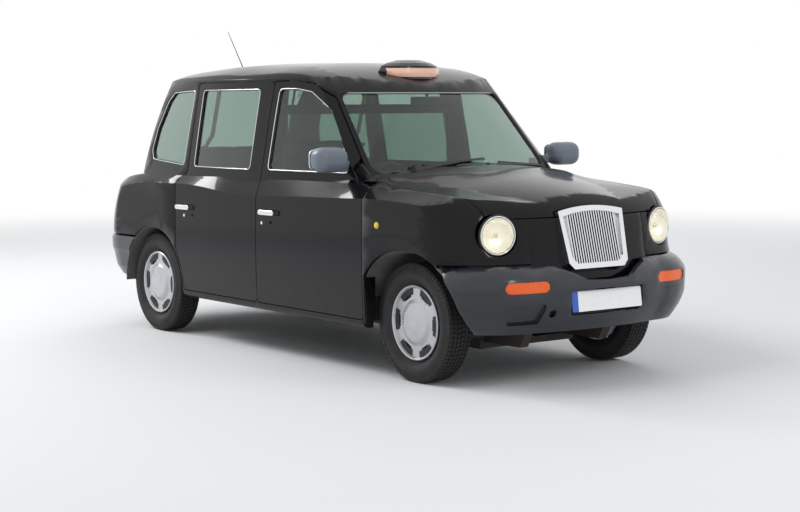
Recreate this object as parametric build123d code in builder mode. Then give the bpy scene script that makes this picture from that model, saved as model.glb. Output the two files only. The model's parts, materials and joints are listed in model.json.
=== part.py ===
"""A purpose-built city taxi cab: a black four-door saloon with a separate frame, a raised
blank roof sign, a partition between driver and passengers, and tip-up seats.

+X points forward, +Y to the car's left and +Z up; the ground is z = 0 and all sizes are millimetres.
"""
from build123d import *
from math import atan2, cos, degrees, hypot, radians, sin, sqrt
import os

os.makedirs("parts", exist_ok=True)

# Overall sizes
car_length = 4580
half_length = car_length / 2
wheelbase = 2886
front_axle_x = 1505
rear_axle_x = front_axle_x - wheelbase
body_half_width = 874
roof_top_z = 1834
ground_clearance = 280

# Wall and panel thicknesses
door_wall = 58
frame_wall = 38
panel_wall = 16
glass_wall = 6
glass_depth = 14

# Gaps between panels, and the running clearance of pins
shut_gap = 6
lid_gap = 6
pin_gap = 0.5
seat_gap = 0.3
edge_slant = 0.1

# Wheels and tyres
tyre_radius = 339
tyre_width = 178
axle_z = tyre_radius
rim_radius = 213
front_wheel_y = 690
rear_wheel_y = 738
front_arch_radius = 410
rear_arch_radius = 410
front_arch_x = front_axle_x
front_arch_lead = 95
front_arch_lead_z = 345
rear_arch_x = rear_axle_x + 41
rear_arch_z = 327

# Heights on the body side
door_bottom_z = 332
waist_z = 1108
window_bottom_z = 1160
window_top_z = 1660
door_top_z = 1706
side_plane_y = 920

# Door shut lines
front_door_front_x = 1160
door_split_x = 12
rear_door_back_x = -1008
rear_door_top_back_x = -945


# Body sections from tail to nose.
# x, half width, shoulder height, crest half width, crest height, ridge half width, ridge height,
# crown height, underside height
body_sections = (
    (-2420, 876, 690, 640, 800, 480, 880, 900, 330),
    (-2150, 876, 812, 705, 945, 520, 1008, 1032, 320),
    (-1950, 876, 937, 765, 1025, 585, 1076, 1092, 295),
    (-1650, 874, 1012, 812, 1078, 640, 1100, 1110, 280),
    (-1200, 872, 1036, 824, 1090, 670, 1104, 1112, 280),
    (-650, 873, 1029, 829, 1096, 700, 1106, 1112, 280),
    (-365, 873, 1004, 829, 1099, 700, 1108, 1114, 280),
    (0, 873, 997, 829, 1101, 700, 1110, 1116, 280),
    (600, 874, 1014, 828, 1106, 700, 1118, 1126, 280),
    (1000, 875, 1022, 822, 1104, 705, 1150, 1186, 280),
    (1200, 876, 1027, 806, 1098, 662, 1142, 1196, 280),
    (1400, 875, 1024, 784, 1088, 586, 1108, 1166, 280),
    (1650, 875, 1013, 752, 1072, 496, 1078, 1126, 285),
    (1880, 876, 988, 712, 1052, 392, 1043, 1084, 300),
    (2050, 876, 947, 664, 1018, 300, 1014, 1044, 325),
    (2130, 876, 916, 630, 984, 262, 992, 1016, 340),
    (2320, 876, 826, 560, 880, 200, 890, 900, 350),
)

# Plan outlines of the lower body, from the underside up.
# height, nose centre x, nose corner x, tail centre x, tail corner x
plan_sections = (
    (200, 2190, 2110, -2180, -2108),
    (420, 2184, 2102, -2204, -2132),
    (650, 2176, 2092, -2224, -2151),
    (860, 2136, 2046, -2186, -2113),
    (950, 2110, 2018, -2144, -2066),
    (1010, 2068, 1976, -2098, -2026),
    (1080, 1984, 1890, -2034, -1964),
    (1300, 1600, 1500, -1620, -1550),
)
nose_corner_y = 607
tail_corner_y = 560
nose_turn_length = 355
tail_turn_length = 330
flank_y = 878


def lower_form(inset):
    with BuildPart() as form:
        for x, half, shoulder_z, crest_y, crest_z, ridge_y, ridge_z, crown_z, under_z in body_sections:
            side = half - inset
            crest = (crest_y - inset * 0.8, crest_z - inset * 0.8)
            ridge = (ridge_y - inset * 0.2, ridge_z - inset)
            under = under_z + inset
            with BuildSketch(Plane.YZ.offset(x)):
                with BuildLine():
                    base = Line((0, under), (side - 46, under))
                    turn = ThreePointArc(base @ 1, (side - 20, under + 14), (side - 8, under + 50))
                    flank = ThreePointArc(turn @ 1, (side, (under + shoulder_z) / 2),
                                          (side - 6, shoulder_z - inset * 0.3))
                    band = Line(flank @ 1, crest)
                    slope = Line(band @ 1, ridge)
                    mirror(about=Plane.YZ)
                    ThreePointArc(slope @ 1, (0, crown_z - inset), (-ridge[0], ridge[1]))
                make_face()
        loft()
        for z, nose_x, nose_side_x, tail_x, tail_side_x in plan_sections:
            wide = flank_y - inset
            with BuildSketch(Plane.XY.offset(z)):
                with BuildLine():
                    nose = ThreePointArc((nose_side_x - inset, -nose_corner_y), (nose_x - inset, 0),
                                         (nose_side_x - inset, nose_corner_y))
                    front_turn = TangentArc((nose_side_x - nose_turn_length, wide), nose @ 1, tangent=(1, 0))
                    flank = Line(front_turn @ 0, (tail_side_x + tail_turn_length, wide))
                    tail_turn = TangentArc(flank @ 1, (tail_side_x + inset, tail_corner_y), tangent=(-1, 0))
                    ThreePointArc(tail_turn @ 1, (tail_x + inset, 0), (tail_side_x + inset, -tail_corner_y))
                    mirror([front_turn, flank, tail_turn], about=Plane.XZ)
                make_face()
        loft(mode=Mode.INTERSECT)
    return form.part


# Plan outlines of the glasshouse.
# height, screen centre x, screen corner x, screen corner y, side front x, side front y,
# side middle y, side back x, side back y, back corner x, back corner y, back centre x
cabin_sections = (
    (1000, 1272, 1142, 715, 1080, 792, 848, -1715, 748, -1920, 620, -2005),
    (1450, 868, 727.6, 648.5, 666.6, 712.5, 772.6, -1622, 664, -1775, 556, -1870),
    (1860, 500, 350, 588, 290, 640, 704, -1420, 572, -1530, 480, -1620),
)

# Roof line sections from tail to nose: x, crown height, edge drop
roof_sections = (
    (-2150, 1430, 150),
    (-1850, 1640, 135),
    (-1600, 1746, 120),
    (-1250, 1802, 108),
    (-800, 1830, 100),
    (-300, roof_top_z, 96),
    (100, 1826, 96),
    (400, 1782, 96),
    (600, 1712, 96),
    (800, 1606, 100),
    (1400, 1230, 100),
)


def upper_form(inset):
    with BuildPart() as form:
        for (z, screen_x, corner_x, corner_y, front_x, front_y, middle_y,
             back_x, back_y, tail_x, tail_y, end_x) in cabin_sections:
            with BuildSketch(Plane.XY.offset(z)):
                with BuildLine():
                    screen = ThreePointArc((corner_x - inset, -corner_y + inset * 0.3),
                                           (screen_x - inset, 0),
                                           (corner_x - inset, corner_y - inset * 0.3))
                    post = Line(screen @ 1, (front_x - inset * 0.4, front_y - inset))
                    side = ThreePointArc(post @ 1, (-400, middle_y - inset),
                                         (back_x + inset * 0.4, back_y - inset))
                    back_post = Line(side @ 1, (tail_x + inset, tail_y - inset * 0.5))
                    ThreePointArc(back_post @ 1, (end_x + inset, 0), (tail_x + inset, -tail_y + inset * 0.5))
                    mirror([post, side, back_post], about=Plane.XZ)
                make_face()
        loft()
        for x, crown_z, drop in roof_sections:
            crown = crown_z - inset
            with BuildSketch(Plane.YZ.offset(x)):
                with BuildLine():
                    base = Line((0, 900), (900, 900))
                    wall = Line(base @ 1, (900, crown - drop - 120))
                    turn = ThreePointArc(wall @ 1, (750, crown - drop), (560, crown - 26))
                    mirror(about=Plane.YZ)
                    ThreePointArc(turn @ 1, (0, crown), (-560, crown - 26))
                make_face()
        loft(mode=Mode.INTERSECT)
    return form.part


with BuildPart() as lower_solid:
    add(lower_form(0))

with BuildPart() as upper_solid:
    add(upper_form(0))

with BuildPart() as outer_form:
    add(lower_solid.part)
    add(upper_solid.part)

with BuildPart() as inner_form:
    add(lower_form(door_wall))
    add(upper_form(frame_wall))

with BuildPart() as body_shell:
    add(outer_form.part)
    add(inner_form.part, mode=Mode.SUBTRACT)



def outline(plane, points, radius, grow=0):
    """A closed outline on a plane, with its corners rounded, and grown where asked."""
    with BuildSketch(plane) as drawn:
        with BuildLine():
            Polyline(*points, close=True)
        make_face()
        fillet(drawn.vertices(), radius)
        if grow:
            offset(amount=grow)
    return drawn.sketch


def side_x(x, depth_y):
    """Place on the outer sketch plane of a line that crosses the body side at x."""
    return x - edge_slant * (side_plane_y - depth_y)


# Shut line and window outlines, as (x, z) on the body side
def front_door_points():
    back_low = side_x(door_split_x + shut_gap / 2, 872)
    back_high = side_x(door_split_x + shut_gap / 2, 740)
    front = side_x(front_door_front_x, 872)
    return ((back_low, door_bottom_z), (front, door_bottom_z), (front, 1086), (side_x(985, 800), 1128),
            (side_x(800, 770), 1378), (side_x(632, 750), 1562), (side_x(415, 740), 1682),
            (side_x(250, 740), door_top_z), (back_high, door_top_z), (back_low, waist_z))


def rear_door_points():
    front_low = side_x(door_split_x - shut_gap / 2, 872)
    front_high = side_x(door_split_x - shut_gap / 2, 740)
    back_low = side_x(rear_door_back_x, 872)
    back_high = side_x(rear_door_top_back_x, 740)
    reach = rear_arch_radius + 16
    arch_low_x = rear_arch_x + sqrt(reach ** 2 - (door_bottom_z - rear_arch_z) ** 2)
    arch_mid_x = rear_arch_x + sqrt(reach ** 2 - 140 ** 2)
    arch_high_x = rear_arch_x + sqrt(reach ** 2 - 250 ** 2)
    return ((front_low, door_bottom_z), (front_low, waist_z), (front_high, door_top_z),
            (back_high, door_top_z),
            (side_x(rear_door_top_back_x, 800), waist_z + 20), (back_low, 1060),
            (back_low, rear_arch_z + 262), (side_x(arch_high_x, 872), rear_arch_z + 250),
            (side_x(arch_mid_x, 872), rear_arch_z + 140), (side_x(arch_low_x, 872), door_bottom_z))


front_window_points = ((76, window_bottom_z), (906, window_bottom_z), (756, 1356), (600, 1532), (392, 1640),
                       (250, window_top_z), (76, window_top_z))
rear_window_points = ((-868, window_bottom_z - 4), (-128, window_bottom_z - 4), (-128, window_top_z),
                      (-868, window_top_z))
quarter_window_points = ((-1024, window_bottom_z), (-1560, window_bottom_z + 28), (-1606, 1250),
                         (-1574, 1400),
                         (-1466, 1590), (-1380, window_top_z - 12), (-1000, window_top_z))


def door_prism(points, radius, grow, mode):
    """Push a door outline through the right side, leaning forward as it goes in."""
    extrude(outline(Plane.XZ.offset(side_plane_y), points, radius, grow), amount=420,
            dir=(edge_slant, 1, 0), mode=mode)


screen_post_low_y = cabin_sections[0][3] + 8
screen_post_high_y = cabin_sections[-1][3] + 8


def window_prism(points, radius, grow, mode):
    """Push a window outline straight through the right side."""
    extrude(outline(Plane.XZ.offset(side_plane_y), points, radius, grow), amount=420, dir=(0, 1, 0),
            mode=mode)


def screen_room(grow):
    """Room between the two screen posts, seen from the front, that no door reaches into."""
    half_low = screen_post_low_y + grow
    half_high = screen_post_high_y + grow
    with BuildSketch(Plane.YZ.offset(300)) as drawn:
        Polygon((-half_low, 1000), (half_low, 1000), (half_high, 1860), (-half_high, 1860), align=None)
    return extrude(drawn.sketch, amount=1100, dir=(1, 0, 0), mode=Mode.PRIVATE)


# Centres of the two wheel openings, as (x, z); the front one is two circles, one leading
front_arch_centres = ((front_arch_x, axle_z), (front_arch_x + front_arch_lead, front_arch_lead_z))
rear_arch_centres = ((rear_arch_x, rear_arch_z),)


def arch_cylinder(centres, radius, mode):
    """Cut or keep a wheel arch through the right side."""
    with BuildSketch(Plane.XZ.offset(side_plane_y + 60)) as drawn:
        with Locations(*centres):
            Circle(radius)
    extrude(drawn.sketch, amount=560, dir=(0, 1, 0), mode=mode)


def block(x0, x1, y0, y1, z0, z1, mode=Mode.ADD):
    """A square block between three pairs of limits."""
    with Locations(((x0 + x1) / 2, (y0 + y1) / 2, (z0 + z1) / 2)):
        Box(x1 - x0, y1 - y0, z1 - z0, mode=mode)


# Tail lamps: upright clusters let into the rear corners
tail_lamp_y = 640
tail_lamp_z = 795
tail_lamp_height = 210
tail_lamp_width = 124
bumper_seat_z = 656


def tail_lamp_shape(grow):
    with BuildSketch(Plane.YZ.offset(-2400)) as drawn:
        with Locations((-tail_lamp_y, tail_lamp_z), (tail_lamp_y, tail_lamp_z)):
            RectangleRounded(tail_lamp_width + 2 * grow, tail_lamp_height + 2 * grow, 30)
    return drawn.sketch


def tail_lamp_room(grow):
    """Cut the room of both tail lamps, open to the rear."""
    extrude(tail_lamp_shape(grow), amount=400, dir=(1, 0, 0), mode=Mode.SUBTRACT)


def save(part, label):
    part.label = label
    export_step(part, "parts/" + label + ".step")


def save_pair(part, label):
    """Save a right-hand piece and its mirror on the left."""
    with BuildPart() as left:
        mirror(part, about=Plane.XZ)
    save(part, label + "_right")
    save(left.part, label + "_left")


# Door skins and their glass
def make_door(points, window_points, label):
    with BuildPart() as door:
        add(body_shell.part)
        door_prism(points, 26, 0, Mode.INTERSECT)
        block(-1200, 1400, -(body_half_width - door_wall - 12), 0, 200, waist_z - 20, Mode.SUBTRACT)
        block(900, 1400, -(body_half_width - door_wall - 60), 0, 200, 1300, Mode.SUBTRACT)
        add(screen_room(shut_gap), mode=Mode.SUBTRACT)
        window_prism(window_points, 30, 0, Mode.SUBTRACT)
    save_pair(door.part, "door_" + label)
    return door.part


with BuildPart() as glass_outer:
    add(upper_form(glass_depth))

with BuildPart() as glass_skin:
    add(glass_outer.part)
    add(upper_form(glass_depth + glass_wall), mode=Mode.SUBTRACT)


def make_side_glass(window_points, label):
    with BuildPart() as pane:
        add(glass_skin.part)
        window_prism(window_points, 30, 0, Mode.INTERSECT)
    save_pair(pane.part, "glass_" + label)


front_door = make_door(front_door_points(), front_window_points, "front")
rear_door = make_door(rear_door_points(), rear_window_points, "rear")
make_side_glass(front_window_points, "front")
make_side_glass(rear_window_points, "rear")

# Windscreen and rear window openings, seen from the front and the rear, as (y, z)
screen_points = ((-672, 1150), (672, 1150), (606, 1632), (-606, 1632))
back_glass_points = ((-560, 1112), (560, 1112), (560, 1700), (-560, 1700))


def screen_prism(points, x0, length, mode):
    extrude(outline(Plane.YZ.offset(x0), points, 60), amount=length, dir=(1, 0, 0), mode=mode)


# Roof, above the gutter line, with the headers over the front and rear glass
roof_split = ((-2100, 1642), (-1600, 1694), (-1200, 1726), (340, 1726), (560, 1634), (1400, 1634),
              (1400, 1900), (-2100, 1900))


def roof_prism(grow, mode):
    extrude(outline(Plane.XZ.offset(950), roof_split, 8, grow), amount=1900, dir=(0, 1, 0), mode=mode)


with BuildPart() as roof:
    add(body_shell.part)
    roof_prism(0, Mode.INTERSECT)
save(roof.part, "roof")

# Fixed body sides with posts, rear quarters and sills, joined as one aperture panel each
wing_back_x = front_door_front_x + shut_gap
centre_half = 560
post_half = 46
bonnet_rear_x = 1120
bonnet_rear_half = 742
bonnet_front_z = 936


def main_piece(part):
    """The largest solid, without the slivers that a cut leaves."""
    return part.solids().sort_by(SortBy.VOLUME)[-1]


with BuildPart() as front_door_room:
    door_prism(front_door_points(), 26, shut_gap, Mode.ADD)
    add(screen_room(0), mode=Mode.SUBTRACT)

with BuildPart() as side_panel:
    add(body_shell.part)
    block(-2400, 1400, -950, -centre_half, 200, 1900, Mode.INTERSECT)
    block(wing_back_x - 8, 1500, -950, 0, 200, 1300, Mode.SUBTRACT)
    block(880, 1500, -790, 0, 200, 1120, Mode.SUBTRACT)
    block(bonnet_rear_x - lid_gap, 1500, -bonnet_rear_half - lid_gap, 0, bonnet_front_z, 1500, Mode.SUBTRACT)
    block(-2400, 1500, -792, 0, 200, 600, Mode.SUBTRACT)
    block(-2400, -1500, -950, 0, 200, bumper_seat_z, Mode.SUBTRACT)
    roof_prism(0, Mode.SUBTRACT)
    add(front_door_room.part, mode=Mode.SUBTRACT)
    door_prism(rear_door_points(), 26, shut_gap, Mode.SUBTRACT)
    window_prism(quarter_window_points, 30, 0, Mode.SUBTRACT)
    arch_cylinder(rear_arch_centres, rear_arch_radius, Mode.SUBTRACT)
    tail_lamp_room(seat_gap)
    screen_prism(screen_points, 500, 900, Mode.SUBTRACT)

# Middle post behind the meeting doors, from sill to gutter
post_low_z = 334.3
post_points = ((-800, post_low_z), (-800, 975), (-762, 1068), (-752, 1130), (-676, 1640), (-670, 1760),
               (-632, 1760),
               (-636, 1640), (-712, 1130), (-722, 1068), (-760, 975), (-760, post_low_z))
# Concealed hinge leaves that stand on the post and end at the inner face of the rear door
with BuildPart() as rear_door_hinges:
    for hinge_z in (520, 900):
        block(door_split_x - post_half, door_split_x - 18, -870, -762, hinge_z, hinge_z + 60)
    add(lower_form(door_wall + seat_gap), mode=Mode.INTERSECT)

with BuildPart() as post:
    with BuildSketch(Plane.YZ.offset(door_split_x - post_half)) as post_shape:
        Polygon(*post_points, align=None)
    extrude(amount=2 * post_half)
    add(roof.part, mode=Mode.SUBTRACT)
    add(rear_door_hinges.part)

with BuildPart() as body_sides:
    add(main_piece(side_panel.part))
    add(main_piece(post.part))
    mirror(about=Plane.XZ)
save(body_sides.part, "body_sides")

# Front: one skin form for wings, front panel and bonnet
nose_back_x = wing_back_x
bonnet_depth = 20
with BuildPart() as nose_skin:
    add(lower_solid.part)
    add(lower_form(panel_wall), mode=Mode.SUBTRACT)
    block(900, 2400, -950, 950, 310, 1400, Mode.INTERSECT)

bonnet_points = ((bonnet_rear_x, 0), (bonnet_rear_x, -bonnet_rear_half), (1500, -bonnet_rear_half),
                 (1880, -706), (2020, -640), (2062, -560),
                 (2076, -460), (2100, -268), (2200, -258), (2200, 0))
grille_half_top = 241
grille_half_bottom = 220
grille_top_z = 973
grille_bottom_z = 658
grille_arch = 26
grille_top_x = 2124
grille_bottom_x = 2206
headlamp_x = 2050
headlamp_y = 607
headlamp_z = 854
headlamp_radius = 100
bezel_radius = 113


def bonnet_outline(grow):
    plan = bonnet_points + tuple((x, -y) for x, y in reversed(bonnet_points[1:-1]))
    return outline(Plane.XY.offset(910), plan, 24, grow)


slat_count = 20
slat_width = 8
grille_depth = 46
grille_frame = 30
grille_lean = degrees(atan2(grille_bottom_x - grille_top_x, grille_top_z - grille_bottom_z))
grille_mid_z = (grille_top_z + grille_bottom_z) / 2
grille_mid_x = (grille_top_x + grille_bottom_x) / 2
grille_plane = Plane(origin=(grille_mid_x, 0, grille_mid_z), x_dir=(0, 1, 0),
                     z_dir=(cos(radians(grille_lean)), 0, sin(radians(grille_lean))))
grille_half_height = hypot(grille_bottom_x - grille_top_x, grille_top_z - grille_bottom_z) / 2
corner_cut = 34


def grille_face(shrink, depth):
    """Grille outline on its leaning plane, shrunk by a frame width."""
    low = -grille_half_height + shrink
    high = grille_half_height - shrink
    wide_low = grille_half_bottom - shrink
    wide_high = grille_half_top - shrink
    with BuildSketch(grille_plane.offset(depth)) as drawn:
        with BuildLine():
            base = Line((-wide_low + corner_cut, low), (wide_low - corner_cut, low))
            cut = Line(base @ 1, (wide_low, low + corner_cut))
            rise = Line(cut @ 1, (wide_high, high))
            ThreePointArc(rise @ 1, (0, high + grille_arch), (-wide_high, high))
            mirror([cut, rise], about=Plane.YZ)
        make_face()
    return drawn.sketch


def lamp_holes(mode):
    """Round openings for the headlamps through the nose."""
    with BuildSketch(Plane.YZ.offset(1960)) as drawn:
        with Locations((-headlamp_y, headlamp_z), (headlamp_y, headlamp_z)):
            Circle(bezel_radius)
    extrude(drawn.sketch, amount=400, dir=(1, 0, 0), mode=mode)


with BuildPart() as bonnet_edge:
    extrude(bonnet_outline(lid_gap), amount=500, dir=(0, 0, 1))
    block(0, 2400, -950, 950, bonnet_front_z, 1500, Mode.INTERSECT)

with BuildPart() as lid_skin:
    add(lower_solid.part)
    add(lower_form(bonnet_depth), mode=Mode.SUBTRACT)

with BuildPart() as bonnet:
    add(lid_skin.part)
    extrude(bonnet_outline(0), amount=500, dir=(0, 0, 1), mode=Mode.INTERSECT)
    block(0, 2400, -950, 950, bonnet_front_z + lid_gap, 1500, Mode.INTERSECT)
    extrude(grille_face(-lid_gap, -grille_depth - 60), amount=300, mode=Mode.SUBTRACT)
    lamp_holes(Mode.SUBTRACT)
save(main_piece(bonnet.part), "bonnet")

panel_half = 432
wing_low_z = 696
with BuildPart() as nose_cut:
    add(nose_skin.part)
    block(wing_back_x, 2400, -950, 950, 310, 1400, Mode.INTERSECT)
    add(bonnet_edge.part, mode=Mode.SUBTRACT)
    extrude(grille_face(-seat_gap, -grille_depth - 60), amount=300, mode=Mode.SUBTRACT)
    lamp_holes(Mode.SUBTRACT)
    block(1840, 2400, -950, 950, 200, 600, Mode.SUBTRACT)
    block(1840, 2400, -950, -panel_half, 200, wing_low_z, Mode.SUBTRACT)
    block(1840, 2400, panel_half, 950, 200, wing_low_z, Mode.SUBTRACT)

# A wing keeps a narrow leg behind the wheel, next to the door, with a flange turned in
leg_front_x = wing_back_x + 14
leg_inner_y = 794
with BuildPart() as arch_room:
    arch_cylinder(front_arch_centres, front_arch_radius, Mode.ADD)
    block(1000, leg_front_x, -1000, 0, 0, 1000, Mode.SUBTRACT)

with BuildPart() as wing:
    add(nose_cut.part)
    block(1000, 2400, -950, -panel_half, 200, 1400, Mode.INTERSECT)
    add(arch_room.part, mode=Mode.SUBTRACT)
    block(1000, leg_front_x, -790, 0, 200, 1400, Mode.SUBTRACT)
    block(leg_front_x - 8, leg_front_x, -868, -leg_inner_y, 322, 590)

with BuildPart() as front_panel:
    add(nose_cut.part)
    block(1900, 2400, -panel_half + seat_gap, panel_half - seat_gap, 200, 1400, Mode.INTERSECT)

with BuildPart() as front_wings:
    add(main_piece(wing.part))
    mirror(about=Plane.XZ)
    add(front_panel.part)
save(front_wings.part, "front_wings")

# Boot lid, rear panel and scuttle
boot_half = 520
lid_edge_x = -2030
boot_points = ((-2400, 1300), (-2400, 690), (-2150, 690), (lid_edge_x, 900), (lid_edge_x, 1300))
rear_plate_x = -2226
rear_plate_z = 775
plate_length = 520
plate_height = 111
plate_thick = 3


def boot_prism(grow, mode):
    extrude(outline(Plane.XZ.offset(boot_half + grow), boot_points, 12, grow), amount=2 * (boot_half + grow),
            dir=(0, 1, 0), mode=mode)


# Two small exposed hinges at the top edge of the boot lid
boot_hinge_y = 340
boot_hinge_z = 1080
hinge_barrel = 9
hinge_pin = 5
hinge_length = 44


def lid_hinges(radius, bore):
    """Barrels of the boot hinges on leaves that run down into the lid."""
    for side in (-1, 1):
        y = side * boot_hinge_y
        block(lid_edge_x - 30, lid_edge_x, y - hinge_length / 2, y + hinge_length / 2, boot_hinge_z - 40,
              boot_hinge_z)
        with Locations(Location((lid_edge_x, y, boot_hinge_z), (90, 0, 0))):
            Cylinder(radius, hinge_length)
            Cylinder(hinge_pin + bore, hinge_length + 40, mode=Mode.SUBTRACT)


def body_hinges():
    """Pins of the boot hinges between two lugs on the rear panel."""
    for side in (-1, 1):
        y = side * boot_hinge_y
        for lug_y in (y - hinge_length / 2 - 11, y + hinge_length / 2 + 1):
            block(lid_edge_x - 4, lid_edge_x + 40, lug_y, lug_y + 10, boot_hinge_z - 40, boot_hinge_z + 4)
        with Locations(Location((lid_edge_x, y, boot_hinge_z), (90, 0, 0))):
            Cylinder(hinge_pin, hinge_length + 8)


with BuildPart() as tail_skin:
    add(lid_skin.part)
    block(-2400, -1700, -centre_half, centre_half, 520, 1300, Mode.INTERSECT)

with BuildPart() as boot_lid:
    add(tail_skin.part)
    boot_prism(0, Mode.INTERSECT)
    block(rear_plate_x + seat_gap, rear_plate_x + 50, -plate_length / 2 - 10, plate_length / 2 + 10,
          rear_plate_z - plate_height / 2 - 10, rear_plate_z + plate_height / 2 + 10)
    lid_hinges(hinge_barrel, pin_gap)
    for side in (-1, 1):
        for lug_y in (boot_hinge_y - hinge_length / 2 - 6, boot_hinge_y + hinge_length / 2 + 6):
            block(lid_edge_x - 12, lid_edge_x + 2, side * lug_y - 6, side * lug_y + 6, boot_hinge_z - 46,
                  boot_hinge_z + 30, Mode.SUBTRACT)
save(boot_lid.part, "boot_lid")

with BuildPart() as rear_panel:
    add(tail_skin.part)
    add(upper_solid.part, mode=Mode.SUBTRACT)
    boot_prism(lid_gap, Mode.SUBTRACT)
    block(-2010, -1700, -centre_half, centre_half, 200, 960, Mode.SUBTRACT)
    body_hinges()
save(rear_panel.part, "rear_panel")

with BuildPart() as scuttle:
    add(lid_skin.part)
    block(900, 1154, -centre_half, centre_half, 1040, 1300, Mode.INTERSECT)
    add(glass_outer.part, mode=Mode.SUBTRACT)
    add(bonnet_edge.part, mode=Mode.SUBTRACT)
save(scuttle.part, "scuttle")

# Fixed glass: windscreen, rear window and the two quarter windows
with BuildPart() as windscreen:
    add(glass_skin.part)
    screen_prism(screen_points, 500, 900, Mode.INTERSECT)
save(windscreen.part, "windscreen")

with BuildPart() as quarter_pane:
    add(glass_skin.part)
    window_prism(quarter_window_points, 30, 0, Mode.INTERSECT)

with BuildPart() as back_pane:
    add(glass_skin.part)
    extrude(outline(Plane.YZ.offset(-2200), back_glass_points, 1), amount=900, dir=(1, 0, 0),
            mode=Mode.INTERSECT)
    roof_prism(0, Mode.SUBTRACT)

with BuildPart() as rear_glass:
    add(quarter_pane.part)
    mirror(about=Plane.XZ)
    add(back_pane.part)
save(rear_glass.part, "rear_glass")

# Floor, bulkhead and the step over the rear axle
floor_z = 312
floor_thick = 22
boot_floor_z = 585
rear_step_x = -905
bulkhead_x = 1098
floor_half = 792
wheel_room_half = 560

with BuildPart() as floor_pan:
    block(rear_step_x, bulkhead_x, -floor_half, floor_half, floor_z, floor_z + floor_thick)
    block(rear_step_x - floor_thick, rear_step_x, -floor_half, floor_half, floor_z, boot_floor_z)
    block(-2095, rear_step_x, -wheel_room_half, wheel_room_half, boot_floor_z - floor_thick, boot_floor_z)
    block(bulkhead_x, bulkhead_x + floor_thick, -floor_half, floor_half, floor_z, 1030)
save(floor_pan.part, "floor_pan")

# Ladder frame: two rails kicked up over the rear axle, joined by tubes, with a spliced tail and nose
rail_y = 300
rail_half = 30
rail_low_z = 205
rail_high_z = 300
kick_z = 460
kick_depth = 85
cross_tube_radius = 34
rail_front_x = 2080
nose_rail_z = 360
rail_rear_x = -2110
pad_x = 200
pad_depth = 15
rail_splices = (-925, 1875)

with BuildPart() as chassis_frame:
    with BuildSketch(Plane.XZ.offset(rail_y + rail_half)) as rail:
        with BuildLine():
            Polyline((rail_rear_x, kick_z), (rail_rear_x, kick_z + kick_depth), (-1045, kick_z + kick_depth),
                     (-932, rail_high_z), (1880, rail_high_z), (1960, nose_rail_z + 90),
                     (rail_front_x, nose_rail_z + 90), (rail_front_x, nose_rail_z), (1990, nose_rail_z),
                     (1910, rail_low_z), (-1000, rail_low_z), (-1120, kick_z), close=True)
        make_face()
    extrude(rail.sketch, amount=2 * rail_half, dir=(0, 1, 0))
    block(pad_x - 45, pad_x + 45, -rail_y - rail_half, -rail_y + rail_half, rail_low_z - pad_depth,
          rail_low_z)
    mirror(about=Plane.XZ)
    for x, z in ((2040, nose_rail_z + 45), (-2060, 500)):
        with Locations(Location((x, 0, z), (90, 0, 0))):
            Cylinder(cross_tube_radius, 2 * rail_y)
    for x in (560, 240, -700):
        block(x - 40, x + 40, -rail_y, rail_y, rail_high_z - 26, rail_high_z)
    for splice_x in rail_splices:
        block(splice_x, splice_x + seat_gap, -rail_y - rail_half, rail_y + rail_half, 200, 600,
              Mode.SUBTRACT)
save(chassis_frame.part, "chassis_frame")

# Engine and gearbox as one plain mass, resting on the rails by two arms
engine_low_z = 330
with BuildPart() as engine_block:
    block(1180, 1780, -205, 205, engine_low_z, 880)
    block(680, 1190, -125, 125, floor_z - 100, floor_z - 10)
    block(1120, 1200, -125, 125, floor_z - 100, 560)
    block(1440, 1520, -rail_y - 20, rail_y + 20, rail_high_z, rail_high_z + 60)
save(engine_block.part, "engine_block")

# Exhaust: pipe, silencer and tail pipe under the floor
exhaust_y = 190
pipe_z = 240
pipe_radius = 25
tail_pipe_z = 282
tail_pipe_end_x = -2270
tail_tip_radius = 28
tail_tip_length = 100
with BuildPart() as exhaust:
    with BuildLine(Plane.XZ.offset(-exhaust_y)) as pipe_path:
        FilletPolyline((1000, pipe_z), (-960, pipe_z), (-1170, 425), (-1620, 425), (-1900, tail_pipe_z),
                       (tail_pipe_end_x, tail_pipe_z), radius=60)
    with BuildSketch(Plane(origin=(1000, exhaust_y, pipe_z), z_dir=(-1, 0, 0))):
        Circle(pipe_radius)
    sweep(path=pipe_path.wires()[0])
    with Locations(Location((-230, exhaust_y, pipe_z), (0, 90, 0))):
        Cylinder(58, 620)
    block(-250, -210, exhaust_y + 40, rail_y - rail_half - seat_gap, pipe_z - 5, pipe_z + 15)
    with Locations(Location((tail_pipe_end_x + tail_tip_length / 2, exhaust_y, tail_pipe_z), (0, 90, 0))):
        Cylinder(tail_tip_radius, tail_tip_length)
save(exhaust.part, "exhaust")

# Live rear axle with its differential, drum backs and coil springs
axle_tube_radius = 40
spindle_radius = 24
hub_inner_y = 52
drum_radius = 128
spring_y = 470

with BuildPart() as rear_axle:
    with Locations(Location((rear_axle_x, 0, axle_z), (90, 0, 0))):
        Cylinder(axle_tube_radius, 2 * (rear_wheel_y - hub_inner_y - 20))
        Cylinder(spindle_radius, 2 * (rear_wheel_y + 8))
    with Locations((rear_axle_x, 0, axle_z)):
        Sphere(120)
    for side in (-1, 1):
        with Locations(Location((rear_axle_x, side * (rear_wheel_y - hub_inner_y - 32), axle_z),
                                (90, 0, 0))):
            Cylinder(drum_radius, 44)
        with Locations((rear_axle_x, side * rail_y, (axle_z + kick_z) / 2)):
            Cylinder(52, kick_z - axle_z)
save(rear_axle.part, "rear_axle")

# Front suspension: cross member, arms with ball eyes, and springs; one knuckle each side
kingpin_y = 608
kingpin_radius = 20
arm_low_z = 242
arm_high_z = 434
arm_thick = 22
steering_limit = 38

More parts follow.
